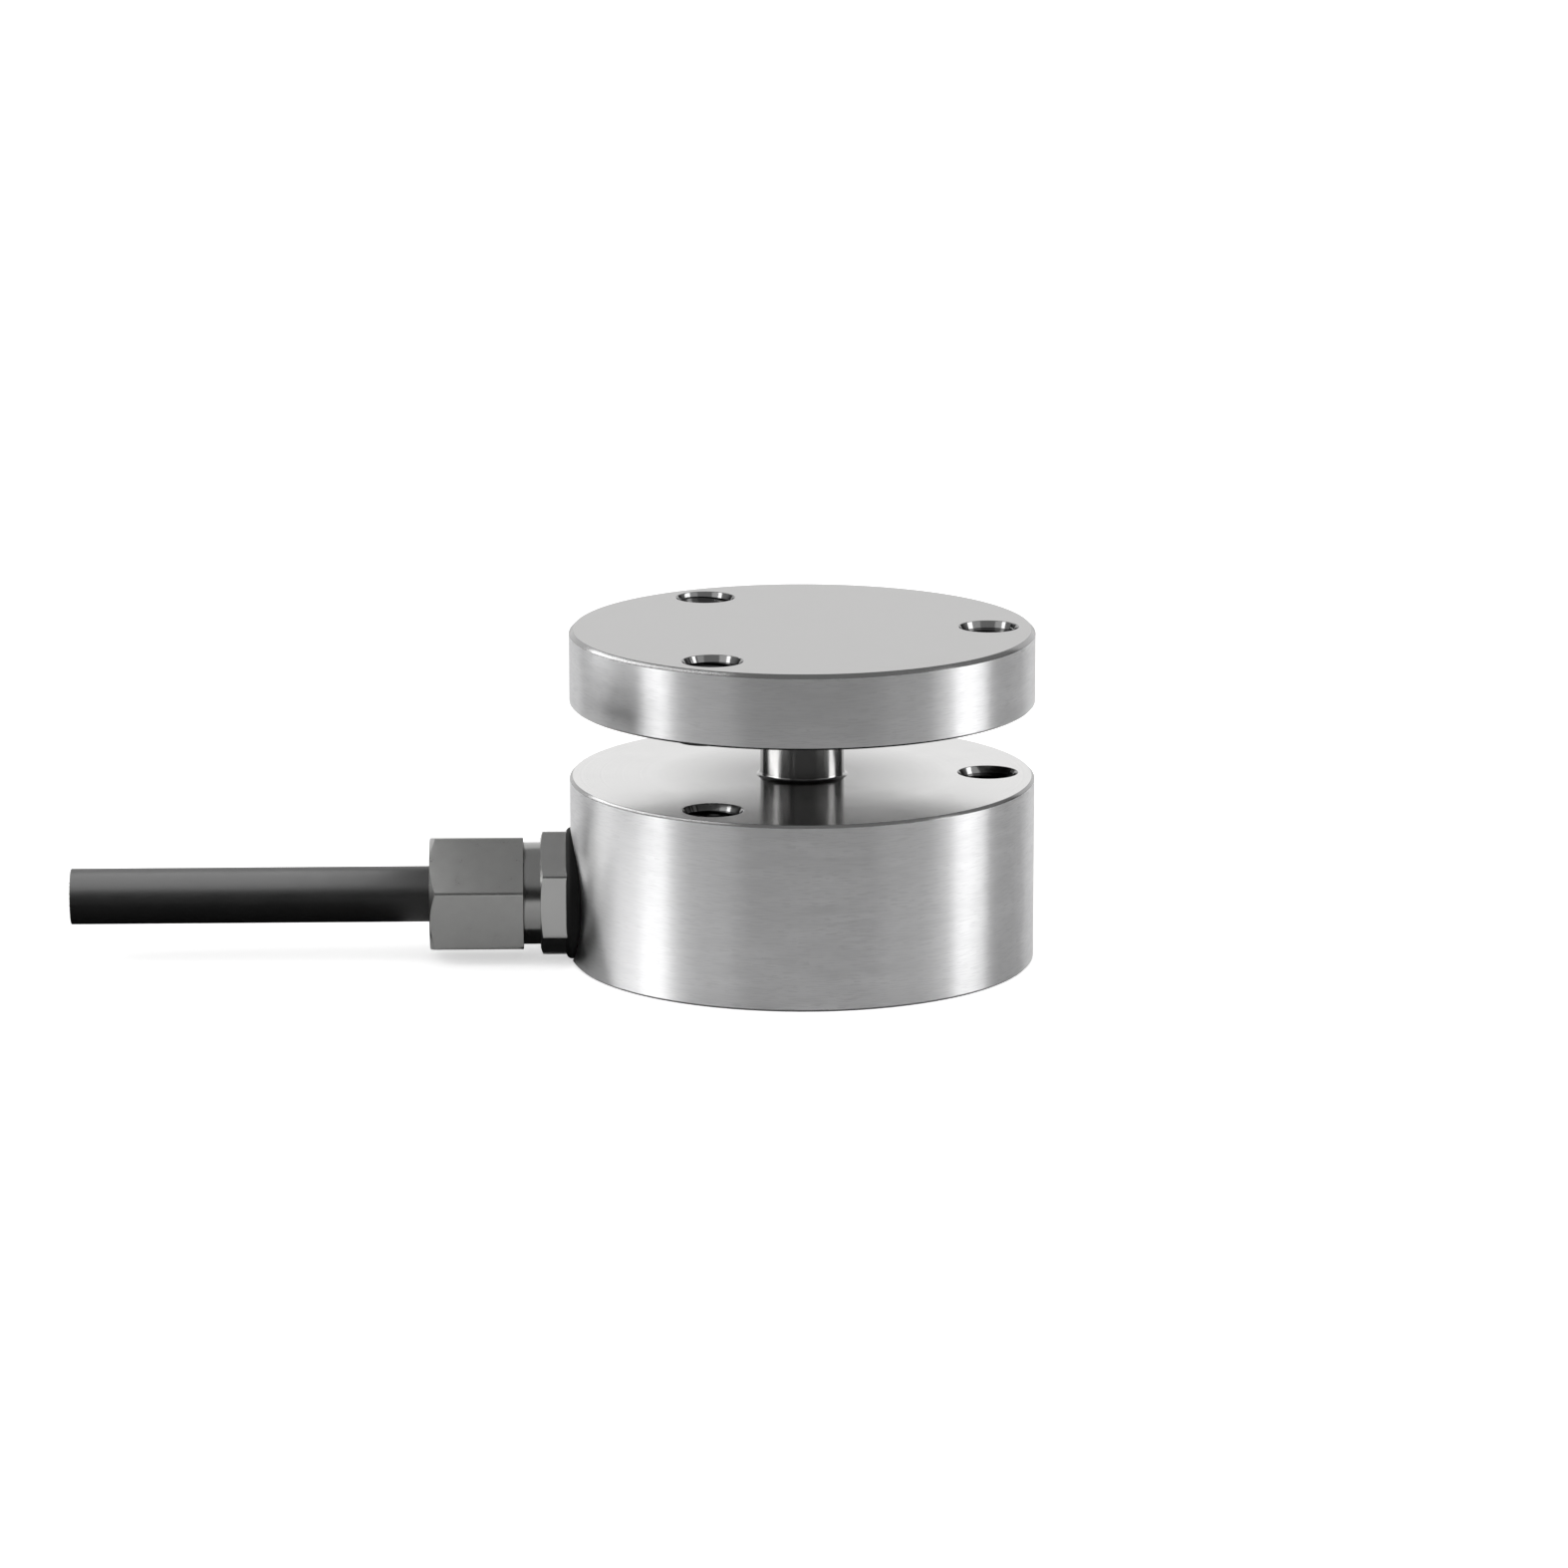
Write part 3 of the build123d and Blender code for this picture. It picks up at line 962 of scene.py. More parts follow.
    def mouths(self) -> Object:
        """Make the four countersinks of one hole, on the Z axis, their lips rounded."""
        over, deep, flare = 0.01, 0.12, 0.3
        flange = self.body_height + self.gap
        steep = math.tan(math.radians(self.mouth_slope))
        depth = (self.mouth_radius - self.thread_minor + deep) * steep
        cones = []
        for level, up in ((0.0, -1), (self.body_height, 1), (flange, -1), (self.height, 1)):
            corners = [
                (self.thread_minor - deep, level - up * depth, 0),
                (self.mouth_radius - self.mouth_depth / steep, level - up * self.mouth_depth, 0),
                (self.mouth_radius, level, self.lip),
                (self.mouth_radius + flare, level + up * over, 0),
            ]
            cones.append(turn("countersink", rounded(corners, steps=5), segments=96))
        return join(cones, "mouths")

    def round_the_circle(self, cutter: Object) -> Object:
        """Copy a cutter to each bolt hole and make one object of the copies.

        Args:
            cutter: The cutter on the Z axis, which is used up.

        Returns:
            The cutters, joined.
        """
        copies = []
        for index in range(self.bolt_count):
            angle = 2 * math.pi * index / self.bolt_count
            place = Matrix.Rotation(angle, 4, "Z") @ Matrix.Translation((self.bolt_circle * MM, 0, 0))
            copies.append(copy_of(cutter, place))
        bpy.data.objects.remove(cutter)
        return join(copies, "round_the_circle")

    def in_hole(self, centre: Vector) -> bool:
        """Say whether a point lies in a bolt hole or its mouth, seen from above.

        Args:
            centre: The point in metres.

        Returns:
            True if it does.
        """
        x, y = centre.x / MM, centre.y / MM
        for index in range(self.bolt_count):
            angle = 2 * math.pi * index / self.bolt_count
            across = x - self.bolt_circle * math.cos(angle)
            along = y - self.bolt_circle * math.sin(angle)
            if math.hypot(across, along) < self.mouth_radius + self.lip:
                return True
        return False

    def zone(self, centre: Vector, normal: Vector) -> Zone:
        """Say which material a face gets by its place: a lathe finish or a darker copy with painted shade.

        Args:
            centre: The face's centre in metres.
            normal: Its normal.

        Returns:
            The zone.
        """
        radius = math.hypot(centre.x, centre.y) / MM
        height = centre.z / MM
        flange = self.body_height + self.gap
        tilt = abs(normal.z)
        flat = tilt > self.level
        if self.in_hole(centre) and not flat:
            nearest = min(abs(height - level) for level in (0, self.body_height, flange, self.height))
            coned = nearest < self.mouth_depth * self.mouth_share and tilt > self.mouth_tilt
            return Zone.MOUTH if coned else Zone.THREAD
        if radius > self.radius - self.rim_width and not flat:
            return Zone.SIDE if tilt < self.side_tilt else Zone.EDGE
        if flat and (height < self.near or height > self.height - self.near):
            return Zone.LOADING_FACE
        in_gap = self.body_height - SEAM < height < flange + SEAM
        if in_gap and radius < self.neck_radius + self.neck_reach:
            return Zone.NECK
        if flat and abs(height - flange) < self.underside_band:
            return Zone.UNDERSIDE
        return Zone.SIDE if radius > self.ring_start and not flat else Zone.INNER_FACE

    def build(self) -> Object:
        """Turn, cut and finish the body.

        Returns:
            The finished piece.
        """
        piece = turn("spool_body", self.profile(), segments=240)
        combine(piece, self.round_the_circle(self.tap()), Way.CUT)
        combine(piece, self.round_the_circle(self.mouths()), Way.CUT)
        for name, radius, start in (
            ("spot", *self.spot_face),
            ("hole", self.gland_hole_radius, self.ledge[0] / 2),
        ):
            cutter = cylinder(name, radius, start, self.radius + OVERSHOOT)
            lay_along_gland(cutter, self.gland_height)
            combine(piece, cutter, Way.CUT)
        crisp(piece, level_faces=True)
        piece.data.materials.clear()
        for finish in self.finishes:
            piece.data.materials.append(finish.build())
        for face in piece.data.polygons:
            face.material_index = self.zone(face.center, face.normal).value
        return piece


def lay_along_gland(piece: Object, gland_height: float) -> None:
    """Lay a mesh drawn up the Z axis along the gland's axis, out to -X.

    Args:
        piece: The object to lay down.
        gland_height: Height of the gland's axis over the base, in millimetres.
    """
    turned = Matrix(((0, 0, -1, 0), (-1, 0, 0, 0), (0, 1, 0, 0), (0, 0, 0, 1)))
    piece.data.transform(Matrix.Translation((0, 0, gland_height * MM)) @ turned)


@dataclass
class BottomCover:
    """Turned disc that closes the gauge chamber from below."""

    radius: float = 8.25
    low: float = 0.2
    high: float = 1.0
    chamfer: float = 0.1
    edge: float = 0.02

    def build(self) -> Object:
        """Turn the cover, face down.

        Returns:
            The finished piece.
        """
        corners = [
            (CORE, self.low, 0),
            (self.radius - self.chamfer, self.low, self.edge),
            (self.radius, self.low + self.chamfer, self.edge),
            (self.radius, self.high, 0),
            (CORE, self.high, 0),
        ]
        piece = turn("cover_disc", rounded(corners), segments=144)
        crisp(piece)
        piece.data.materials.append(LathedFace(name="cover_face", roughness=0.24, painted_shade_share=1.0).build())
        return piece


@dataclass
class CableGland:
    """Gland body, cap nut and seal washer, drawn up the Z axis and laid along -X."""

    axis_height: float = 3.5
    cable_radius: float = 1.6
    thread_radius: float = 2.45
    flat: float = 3.0
    face: float = 2.95
    shank_start: float = 8.15
    hex_start: float = 12.65
    hex_end: float = 14.12
    hex_turn: float = 29.4
    hex_chamfer: float = 0.15
    collar_radius: float = 2.75
    collar_end: float = 15.04
    spigot_end: float = 18.14
    grommet_radius: float = 1.98
    grommet_seat: float = 15.94
    nut_wall: float = 18.62
    nut_end: float = 20.07
    nut_turn: float = 13.0
    nut_chamfer: float = 0.34
    nut_bore: float = 2.5
    corner_bevel: float = 0.2
    edge: float = 0.04
    lip: float = 0.05
    mouth: Station = (0.12, 0.08)
    cone_overlap: float = 0.2
    collar_overlap: float = 0.3
    mouth_overlap: float = 0.5
    washer: tuple[float, float, float, float] = (2.47, 3.46, 11.9, 12.65)
    washer_bulge: float = 0.09
    washer_rounds: Station = (0.25, 0.30)
    end_face: float = 0.9
    nut_finish: PlainMetal = PlainMetal("nickel_nut", (0.345, 0.345, 0.34), 0.30, grain_depth=0.0003)
    body_finish: PlainMetal = PlainMetal("nickel_base", (0.42, 0.42, 0.415), 0.24, grain_depth=0.0003)
    collar_finish: PlainMetal = PlainMetal("turned_collar", (0.32, 0.32, 0.315), 0.20, grain_depth=0.0003)
    rubber: SoftPolymer = SoftPolymer("seal_rubber", (0.004, 0.004, 0.004), 0.6, specular=0.1)

    def hexagon(self, name: str, low: float, high: float, turn_by: float, chamfer: float) -> Object:
        """Make a hexagon with rounded corners and a coned outer end.

        Args:
            name: The object's name.
            low: Its inner end in millimetres.
            high: Its outer end in millimetres.
            turn_by: The angle of its first corner in degrees.
            chamfer: The cone's depth at a corner in millimetres.

        Returns:
            The hexagon, up the Z axis.
        """
        corner = self.flat / math.cos(math.pi / 6)
        piece = cylinder(name, corner, low, high, sides=6)
        with editing(piece):
            select_edges(piece, lambda a, b: abs(a.z - b.z) > (high - low) / 2 * MM)
            bpy.ops.mesh.bevel(offset=self.corner_bevel * MM, offset_type="OFFSET", segments=4)
        spin = math.radians(turn_by) - math.pi / 2
        piece.data.transform(Matrix.Rotation(spin, 4, "Z"))
        slope = (corner - self.face) / chamfer
        start = low - self.cone_overlap
        corners = [
            (CORE, start, 0),
            (self.face + slope * (high - start), start, 0),
            (self.face, high, self.edge),
            (CORE, high, 0),
        ]
        combine(piece, turn("cone", rounded(corners), segments=144), Way.KEEP_COMMON)
        return piece

    def body(self) -> Object:
        """Make the gland body: shank, hexagon, collar and spigot."""
        piece = self.hexagon("gland_base", self.hex_start, self.hex_end, self.hex_turn, self.hex_chamfer)
        thread, collar = self.thread_radius, self.collar_radius
        collar_start = self.hex_start + self.collar_overlap
        corners = [
            (CORE, self.shank_start, 0),
            (thread, self.shank_start, 0),
            (thread, collar_start, 0),
            (collar, collar_start, 0),
            (collar, self.collar_end, self.edge),
            (thread, self.collar_end, 0),
            (thread, self.spigot_end, self.lip),
            (CORE, self.spigot_end, 0),
        ]
        combine(piece, turn("turned", rounded(corners), segments=144), Way.JOIN)
        end = self.spigot_end + OVERSHOOT
        combine(piece, cylinder("bore", self.cable_radius, self.shank_start - OVERSHOOT, end), Way.CUT)
        combine(piece, cylinder("seat", self.grommet_radius, self.grommet_seat, end), Way.CUT)
        return piece

    def nut(self) -> Object:
        """Make the cap nut, open at its inner end and bored for the cable."""
        piece = self.hexagon("cap_nut", self.collar_end, self.nut_end, self.nut_turn, self.nut_chamfer)
        inside = cylinder("thread", self.nut_bore, self.collar_end - OVERSHOOT, self.nut_wall)
        combine(piece, inside, Way.CUT)
        start = self.nut_wall - self.mouth_overlap
        inner, outer = self.mouth
        corners = [
            (CORE, start, 0),
            (self.cable_radius, start, 0),
            (self.cable_radius, self.nut_end - inner, self.lip),
            (self.cable_radius + inner + outer, self.nut_end + outer, 0),
            (CORE, self.nut_end + outer, 0),
        ]
        combine(piece, turn("mouth", rounded(corners), segments=96), Way.CUT)
        return piece

    def seal(self) -> Object:
        """Make the washer, its rim squeezed round."""
        inner, outer, low, high = self.washer
        bulge, middle = self.washer_bulge, (low + high) / 2
        inward, outward = self.washer_rounds
        corners = [
            (inner, middle, 0),
            (inner, low, self.lip),
            (outer + bulge, low, inward),
            (outer + bulge, high + bulge, outward),
            (self.flat + bulge, high + bulge, self.lip),
            (self.flat, high, self.lip),
            (inner, high, self.lip),
            (inner, middle + SEAM, 0),
        ]
        return turn("squeezed_seal", rounded(corners, steps=5), segments=144, ring=True)

    def build(self) -> dict[str, Object]:
        """Make and finish the gland's three outer pieces.

        Returns:
            The pieces by the name of the node that each stands for.
        """
        made = {"gland_body": self.body(), "gland_nut": self.nut(), "seal_washer": self.seal()}
        for piece, finish in zip(made.values(), (self.body_finish, self.nut_finish, self.rubber)):
            lay_along_gland(piece, self.axis_height)
            crisp(piece)
            piece.data.materials.clear()
            piece.data.materials.append(finish.build())
        self.finish_turned_faces(made["gland_body"])
        return made

    def finish_turned_faces(self, piece: Object) -> None:
        """Give the collar, spigot and shank of the gland body their lathe finish.

        Args:
            piece: The gland body.
        """
        piece.data.materials.append(self.collar_finish.build())
        for face in piece.data.polygons:
            away = math.hypot(face.center.y, face.center.z - self.axis_height * MM) / MM
            if away < self.collar_radius + self.lip and abs(face.normal.x) < self.end_face:
                face.material_index = 1


@dataclass
class CableStub:
    """Cut end of the cable that the gland holds."""

    axis_height: float = 3.5
    radius: float = 1.5
    inner_radius: float = 1.08
    start: float = 6.85
    end: float = 39.37
    edges: tuple[float, float, float] = (0.02, 0.03, 0.05)
    jacket: SoftPolymer = SoftPolymer(
        "cable_jacket", (0.006, 0.006, 0.006), 0.42, stretch=(900.0, 12000.0, 12000.0), grain_depth=0.0012
    )

    def build(self) -> Object:
        """Make the jacket, cut square.

        Returns:
            The finished piece.
        """
        middle = (self.start + self.end) / 2
        inner, hidden, cut = self.edges
        corners = [
            (self.inner_radius, middle, 0),
            (self.inner_radius, self.start, inner),
            (self.radius, self.start, hidden),
            (self.radius, self.end, cut),
            (self.inner_radius, self.end, inner),
            (self.inner_radius, middle + SEAM, 0),
        ]
        piece = turn("cable_skin", rounded(corners), segments=96, ring=True)
        lay_along_gland(piece, self.axis_height)
        crisp(piece)
        piece.data.materials.append(self.jacket.build())
        return piece


@dataclass
class CutStrands:
    """Wires of the cores and of the braid, standing a hair proud where the cable is cut."""

    axis_height: float = 3.5
    cable_end: float = 39.37
    core_offset: float = 0.375
    strand_radius: float = 0.052
    core_ring: int = 6
    braid_radius: float = 0.995
    braid_count: int = 48
    proud: Range = (0.02, 0.06)
    lengths: int = 5
    stride: int = 3
    root: float = 0.3
    snip: tuple[float, float] = (0.6, 0.2)
    copper: PlainMetal = PlainMetal("strand_copper", (0.80, 0.42, 0.27), 0.25)
    tin: PlainMetal = PlainMetal("strand_tin", (0.75, 0.74, 0.72), 0.3)

    def strand(self, high: float) -> Object:
        """Make one wire on the Z axis with a snipped, rounded end.

        Args:
            high: How far it stands proud, in millimetres.

        Returns:
            The wire.
        """
        radius = self.strand_radius
        rounding, tip = (radius * share for share in self.snip)
        corners = [
            (radius, self.cable_end - self.root, 0),
            (radius, self.cable_end + high, rounding),
            (tip, self.cable_end + high, 0),
        ]
        return turn("strand", rounded(corners, steps=3), segments=12)

    def bundle(self, name: str, places: list[Station]) -> Object:
        """Set wires of slightly different lengths at a list of places.

        Args:
            name: The bundle's name.
            places: Each wire's place across the cable, in millimetres.

        Returns:
            The wires as one object, laid along the cable.
        """
        low, high = self.proud
        steps = self.lengths - 1
        samples = [self.strand(low + (high - low) * step / steps) for step in range(self.lengths)]
        wires = []
        for index, (across, up) in enumerate(places):
            sample = samples[index * self.stride % self.lengths]
            wires.append(copy_of(sample, Matrix.Translation((across * MM, up * MM, 0))))
        for sample in samples:
            bpy.data.objects.remove(sample)
        made = join(wires, name)
        lay_along_gland(made, self.axis_height)
        crisp(made, angle=50.0)
        return made

    def build(self) -> dict[str, Object]:
        """Make the cut wires.

        Returns:
            The copper wires and the braid's wires, by material slot.
        """
        offset = self.core_offset
        cores = []
        for across, up in ((-offset, -offset), (-offset, offset), (offset, -offset), (offset, offset)):
            cores.append((across, up))
            for x, y in circle(2 * self.strand_radius, self.core_ring):
                cores.append((across + x, up + y))
        copper = self.bundle("core_strands", cores)
        braid = self.bundle("braid_strands", circle(self.braid_radius, self.braid_count))
        copper.data.materials.append(self.copper.build())
        braid.data.materials.append(self.tin.build())
        return {"copper": copper, "braid_metal": braid}


class InnerPieces:
    """Bridge, board and wiring inside the chamber: their solids stay, with their own finishes."""

    def finishes(self) -> dict[str, object]:
        """List the finish of each node, by the start of its name."""
        copper = (0.80, 0.42, 0.27)
        return {
            "core_conductor": StrandBundle("bare_copper", copper, 0.3, 1.0, 0.1),
            "board_pads": PlainMetal("pad_copper", copper, 0.35),
            "gauge_grid": PlainMetal("gauge_foil", (0.62, 0.50, 0.36), 0.3),
            "gauge_lead": PlainMetal("enamelled_wire", (0.50, 0.22, 0.10), 0.3),
            "solder_joints": PlainMetal("solder", (0.72, 0.72, 0.71), 0.2),
            "cable_shield": StrandBundle("tinned_braid", (0.75, 0.74, 0.72), 0.35, 1.0, 0.08),
            "stop_sleeve": PlainMetal("sleeve_brass", (0.70, 0.56, 0.30), 0.3),
            "thrust_washer": PlainMetal("washer_brass", (0.70, 0.56, 0.30), 0.3),
            "core_insulation_1": SoftPolymer("red_insulation", (0.55, 0.03, 0.03), 0.3),
            "core_insulation_2": SoftPolymer("black_insulation", (0.02, 0.02, 0.02), 0.3),
            "core_insulation_3": SoftPolymer("green_insulation", (0.03, 0.30, 0.08), 0.3),
            "core_insulation_4": SoftPolymer("white_insulation", (0.80, 0.80, 0.78), 0.3),
            "cable_filler": StrandBundle("filler_thread", (0.78, 0.76, 0.70), 0.8, 0.0, 0.05),
            "terminal_board": SoftPolymer("board_laminate", (0.05, 0.24, 0.10), 0.35),
            "trim_resistor": SoftPolymer("chip_ceramic", (0.05, 0.05, 0.055), 0.45),
            "gauge_backing": SoftPolymer("gauge_film", (0.62, 0.34, 0.08), 0.3),
            "gland_grommet": SoftPolymer("grommet_rubber", (0.02, 0.02, 0.02), 0.6),
        }

    def dress(self, nodes: dict[str, Object]) -> None:
        """Give each inner node its finish.

        Args:
            nodes: The solids by name.
        """
        for start, finish in self.finishes().items():
            made = finish.build()
            for name, node in nodes.items():
                if name.startswith(start):
                    node.data.materials.clear()
                    node.data.materials.append(made)


@dataclass
class Studio:
    """Pale floor, white surroundings, two side strips and a grey tent that only reflections see."""

    floor_reach: float = 3.0
    floor_colour: float = 0.80
    floor_lift: float = 0.55
    room_light: float = 0.75
    strip_distance: float = 0.34
    strip_height: float = 0.40
    strips: tuple[tuple[str, float, float, float, float], ...] = (
        ("right_strip", 77.5, 99.0, 0.0, 3.5),
        ("left_strip", -86.0, -70.0, 0.0, 3.7),
        ("right_fill", 40.0, 74.0, 0.08, 0.42),
        ("left_fill", -69.0, -36.0, 0.08, 0.66),
    )
    tent_reach: float = 0.8
    tent_opening: tuple[float, float] = (138.0, 45.0)
    tent_grey: tuple[float, float] = (0.03, 0.40)
    tent_ramp: tuple[float, float] = (0.28, 0.55)
    table_edge: float = 0.048
    table_sweep: float = 62.0
    table_level: float = 0.0003
    front_grey: float = 0.17
    cable_light: Extent = (-0.075, -0.0225, -0.015, 0.008, 0.015)
    cable_light_radiance: float = 4.2
    cable_shade: Extent = (-0.080, -0.0215, -0.018, 0.011, 0.0004)
    gland_shade: Extent = (-0.0152, -0.0125, -0.0028, 0.014, 0.0003)
    shade_grey: float = 0.01
    rim_arc: tuple[float, float] = (18.0, 64.0)
    rim_steps: int = 8
    rim_distance: float = 0.5
    rim_width: float = 0.05
    rim_radiance: float = 5.5
    sight_angle: float = 12.0

    def floor(self) -> None:
        """Lay the floor, lit for itself and lifted to white for the camera."""
        deselect_all()
        bpy.ops.mesh.primitive_plane_add(size=2 * self.floor_reach)
        ground = bpy.context.object
        ground.name = "floor"
        made, tree, shader = material("pale_floor")
        shader.inputs["Base Color"].default_value = (self.floor_colour,) * 3 + (1,)
        shader.inputs["Roughness"].default_value = 0.9
        shader.inputs["Specular IOR Level"].default_value = 0.0
        shader.inputs["Emission Color"].default_value = (1, 1, 1, 1)
        path = tree.nodes.new("ShaderNodeLightPath")
        lift = maths(tree, "MULTIPLY", path.outputs["Is Camera Ray"], self.floor_lift)
        link(tree, lift, shader.inputs["Emission Strength"])
        ground.data.materials.append(made)

    def surroundings(self) -> None:
        """Set the world: white to the eye, a soft grey light to rough surfaces."""
        world = bpy.data.worlds.new("surroundings")
        world.use_nodes = True
        tree = world.node_tree
        background = tree.nodes["Background"]
        background.inputs["Color"].default_value = (1, 1, 1, 1)
        path = tree.nodes.new("ShaderNodeLightPath")
        seen = maths(tree, "MAXIMUM", path.outputs["Is Camera Ray"], path.outputs["Is Glossy Ray"])
        seen = maths(tree, "MAXIMUM", seen, path.outputs["Is Transmission Ray"])
        extra = maths(tree, "MULTIPLY", seen, 1 - self.room_light)
        link(tree, maths(tree, "ADD", extra, self.room_light), background.inputs["Strength"])
        bpy.context.scene.world = world

    def side_strip(self, name: str, start: float, end: float, low: float, radiance: float) -> None:
        """Stand a tall lamp at the side that faces the object.

        Args:
            name: The lamp's name.
            start: Its first edge in degrees from the front, to the right if positive.
            end: Its second edge.
            low: Height of its lower edge in metres.
            radiance: Its brightness.
        """
        middle, half = math.radians((start + end) / 2), math.radians((end - start) / 2)
        wide = 2 * self.strip_distance * math.tan(half)
        data = bpy.data.lights.new(name, "AREA")
        data.shape = "RECTANGLE"
        data.size, data.size_y = wide, self.strip_height
        data.energy = math.pi * radiance * wide * self.strip_height
        lamp = bpy.data.objects.new(name, data)
        spot = Vector((math.sin(middle), -math.cos(middle), 0)) * self.strip_distance
        spot.z = low + self.strip_height / 2
        facing = Vector((-spot.x, -spot.y, 0)).to_track_quat("-Z", "Y").to_matrix().to_4x4()
        lamp.matrix_world = Matrix.Translation(spot) @ facing
        bpy.context.scene.collection.objects.link(lamp)

    def for_reflections_only(self, piece: Object) -> None:
        """Hide a stage piece from every ray but the glossy ones.

        Args:
            piece: The stage piece.
        """
        piece.visible_camera = False
        piece.visible_diffuse = False
        piece.visible_shadow = False
        piece.visible_transmission = False

    def paint(self, name: str) -> tuple[Material, NodeTree, Node]:
        """Make a black material that only glows.

        Args:
            name: The material's name.

        Returns:
            The material, its tree and its shader.
        """
        made, tree, shader = material(name)
        shader.inputs["Base Color"].default_value = (0, 0, 0, 1)
        shader.inputs["Specular IOR Level"].default_value = 0.0
        shader.inputs["Emission Color"].default_value = (1, 1, 1, 1)
        return made, tree, shader

    def tent(self) -> None:
        """Raise a dark tent over the object, open at the back, darker low than high."""
        deselect_all()
        bpy.ops.mesh.primitive_uv_sphere_add(segments=96, ring_count=48, radius=self.tent_reach)
        tent = bpy.context.object
        tent.name = "tent"
        opening, lintel = (math.radians(angle) for angle in self.tent_opening)
        reach = self.tent_reach
        with editing(tent):
            select_faces(
                tent,
                lambda c, n: c.z < 0
                or (abs(math.atan2(c.x, -c.y)) > opening and c.z < reach * math.sin(lintel)),
            )
            bpy.ops.mesh.delete(type="FACE")
        made, tree, shader = self.paint("tent")
        place = tree.nodes.new("ShaderNodeTexCoord")
        parts = tree.nodes.new("ShaderNodeSeparateXYZ")
        link(tree, place.outputs["Object"], parts.inputs["Vector"])
        ramp = tree.nodes.new("ShaderNodeMapRange")
        ramp.interpolation_type = "SMOOTHSTEP"
        ramp.inputs["From Min"].default_value = reach * self.tent_ramp[0]
        ramp.inputs["From Max"].default_value = reach * self.tent_ramp[1]
        ramp.inputs["To Min"].default_value = self.tent_grey[0]
        ramp.inputs["To Max"].default_value = self.tent_grey[1]
        link(tree, parts.outputs["Z"], ramp.inputs["Value"])
        link(tree, ramp.outputs["Result"], shader.inputs["Emission Strength"])
        tent.data.materials.append(made)
        self.for_reflections_only(tent)

    def front_dark(self) -> None:
        """Lay a dark fan in front of the object, from the lit table's edge out to the tent."""
        deselect_all()
        middle = (0, -self.tent_reach, self.table_level)
        bpy.ops.mesh.primitive_plane_add(size=self.tent_reach, location=middle)
        fan = bpy.context.object
        fan.name = "front_dark"
        bpy.ops.object.transform_apply(location=True, rotation=False, scale=False)
        sweep = math.radians(self.table_sweep)
        with editing(fan):
            bpy.ops.mesh.delete(type="ONLY_FACE")
            mesh = bmesh.from_edit_mesh(fan.data)
            for vertex in mesh.verts:
                vertex.select = vertex.co.x > 0
            mesh.select_flush_mode()
            bmesh.update_edit_mesh(fan.data)
            bpy.ops.mesh.delete(type="VERT")
            mesh = bmesh.from_edit_mesh(fan.data)
            near, far = sorted(mesh.verts, key=lambda vertex: -vertex.co.y)
            for vertex, reach in ((near, self.table_edge), (far, self.tent_reach)):
                vertex.co = (-reach * math.sin(sweep), -reach * math.cos(sweep), self.table_level)
            bmesh.update_edit_mesh(fan.data)
            bpy.ops.mesh.select_all(action="SELECT")
            bpy.ops.mesh.spin(steps=32, angle=-2 * sweep, center=(0, 0, 0), axis=(0, 0, 1))
        made, _, shader = self.paint("front_dark")
        shader.inputs["Emission Strength"].default_value = self.front_grey
        fan.data.materials.append(made)
        self.for_reflections_only(fan)

    def sheet(self, name: str, extent: Extent, glow: float) -> None:
        """Lay a level sheet that only reflections see.

        Args:
            name: The sheet's name.
            extent: Its ends along X, its ends along Y and its height, in metres.
            glow: Its brightness.
        """
        left, right, front, back, level = extent
        deselect_all()
        bpy.ops.mesh.primitive_plane_add(size=1, location=((left + right) / 2, (front + back) / 2, level))
        sheet = bpy.context.object
        sheet.name = name
        sheet.scale = (right - left, back - front, 1)
        bpy.ops.object.transform_apply(location=True, rotation=False, scale=True)
        made, _, shader = self.paint(name)
        shader.inputs["Emission Strength"].default_value = glow
        sheet.data.materials.append(made)
        self.for_reflections_only(sheet)

    def mirrored(self, around: float) -> Vector:
        """Follow the camera's line of sight off a 45 degree chamfer.

        Args:
            around: The place on the rim in degrees, to the left of the front.

        Returns:
            The point at the rim light's distance that the chamfer shows there.
        """
        sight, angle = math.radians(self.sight_angle), math.radians(around)
        outward = Vector((-math.sin(angle), -math.cos(angle), 1)).normalized()
        return Vector((0, math.cos(sight), -math.sin(sight))).reflect(outward) * self.rim_distance

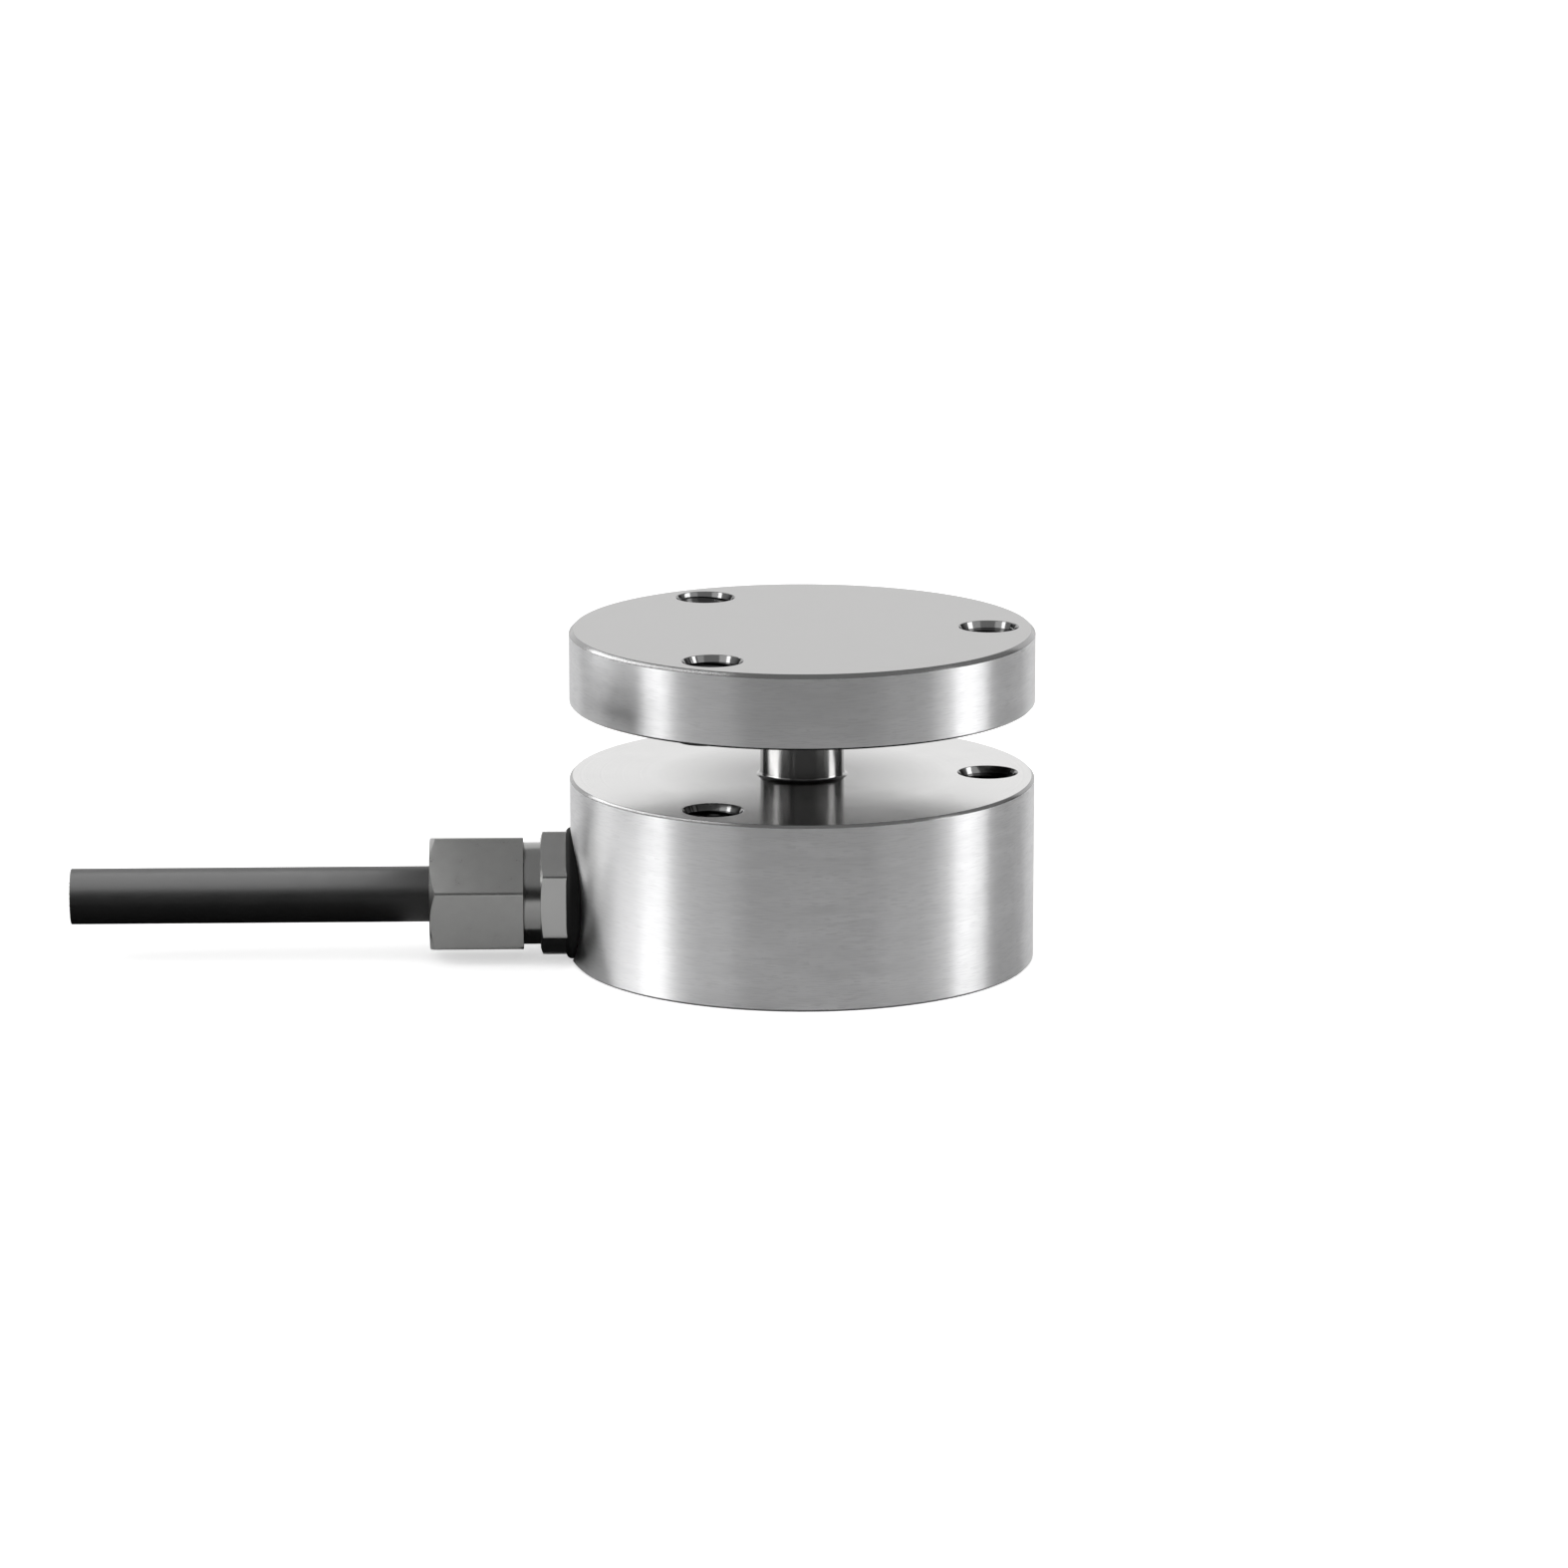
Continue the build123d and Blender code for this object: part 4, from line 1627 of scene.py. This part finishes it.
    def rim_light(self) -> None:
        """Hang a slanted light where the left of the top chamfers shows it."""
        first, last = self.rim_arc
        gain = (last - first) / self.rim_steps
        points = [self.mirrored(first + gain * step) for step in range(self.rim_steps + 1)]
        down = Vector((0, 0, -self.rim_width / 2))
        deselect_all()
        bpy.ops.mesh.primitive_plane_add(size=MM, location=points[0] + down)
        lamp = bpy.context.object
        lamp.name = "rim_light"
        bpy.ops.object.transform_apply(location=True, rotation=False, scale=False)
        with editing(lamp):
            bpy.ops.mesh.merge(type="CENTER")
            for here, there in zip(points, points[1:]):
                bpy.ops.mesh.extrude_vertices_move(TRANSFORM_OT_translate={"value": there - here})
            bpy.ops.mesh.select_all(action="SELECT")
            bpy.ops.mesh.extrude_edges_move(TRANSFORM_OT_translate={"value": (0, 0, self.rim_width)})
        made, _, shader = self.paint("rim_light")
        shader.inputs["Emission Strength"].default_value = self.rim_radiance
        lamp.data.materials.append(made)
        self.for_reflections_only(lamp)

    def build(self) -> None:
        """Set up the whole studio."""
        self.floor()
        self.surroundings()
        for strip in self.strips:
            self.side_strip(*strip)
        self.tent()
        self.front_dark()
        self.sheet("cable_light", self.cable_light, self.cable_light_radiance)
        self.sheet("cable_shade", self.cable_shade, self.shade_grey)
        self.sheet("gland_shade", self.gland_shade, self.shade_grey)
        self.rim_light()


def show(piece: Object, slot: str, *nodes: str) -> None:
    """Put a finished piece on the body in place of its solids.

    Args:
        piece: The finished piece.
        slot: The record's material slot; not used.
        nodes: The nodes that it stands for.
    """
    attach(piece, ROOT)
    if nodes:
        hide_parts(*nodes)
    stands_for = ", ".join(nodes) or "no solid"
    log.info("%s: %d faces, stands for %s", piece.name, len(piece.data.polygons), stands_for)


def main() -> None:
    """Build the camera, the object's pieces and the studio in order."""
    logging.basicConfig(level=logging.INFO, format="%(name)s: %(message)s")
    scene = bpy.context.scene
    scene.view_settings.view_transform = "Standard"
    StudioCamera().place()
    InnerPieces().dress(frame["nodes"])
    show(SensingBody().build(), "turned_steel", "elastic_body")
    show(BottomCover().build(), "cover_steel", "bottom_cover")
    for node, piece in CableGland().build().items():
        show(piece, "seal_rubber" if node == "seal_washer" else "gland_metal", node)
    show(CableStub().build(), "jacket_plastic", "cable_jacket")
    for slot, piece in CutStrands().build().items():
        show(piece, slot)
    Studio().build()


if __name__ == "__main__":
    main()
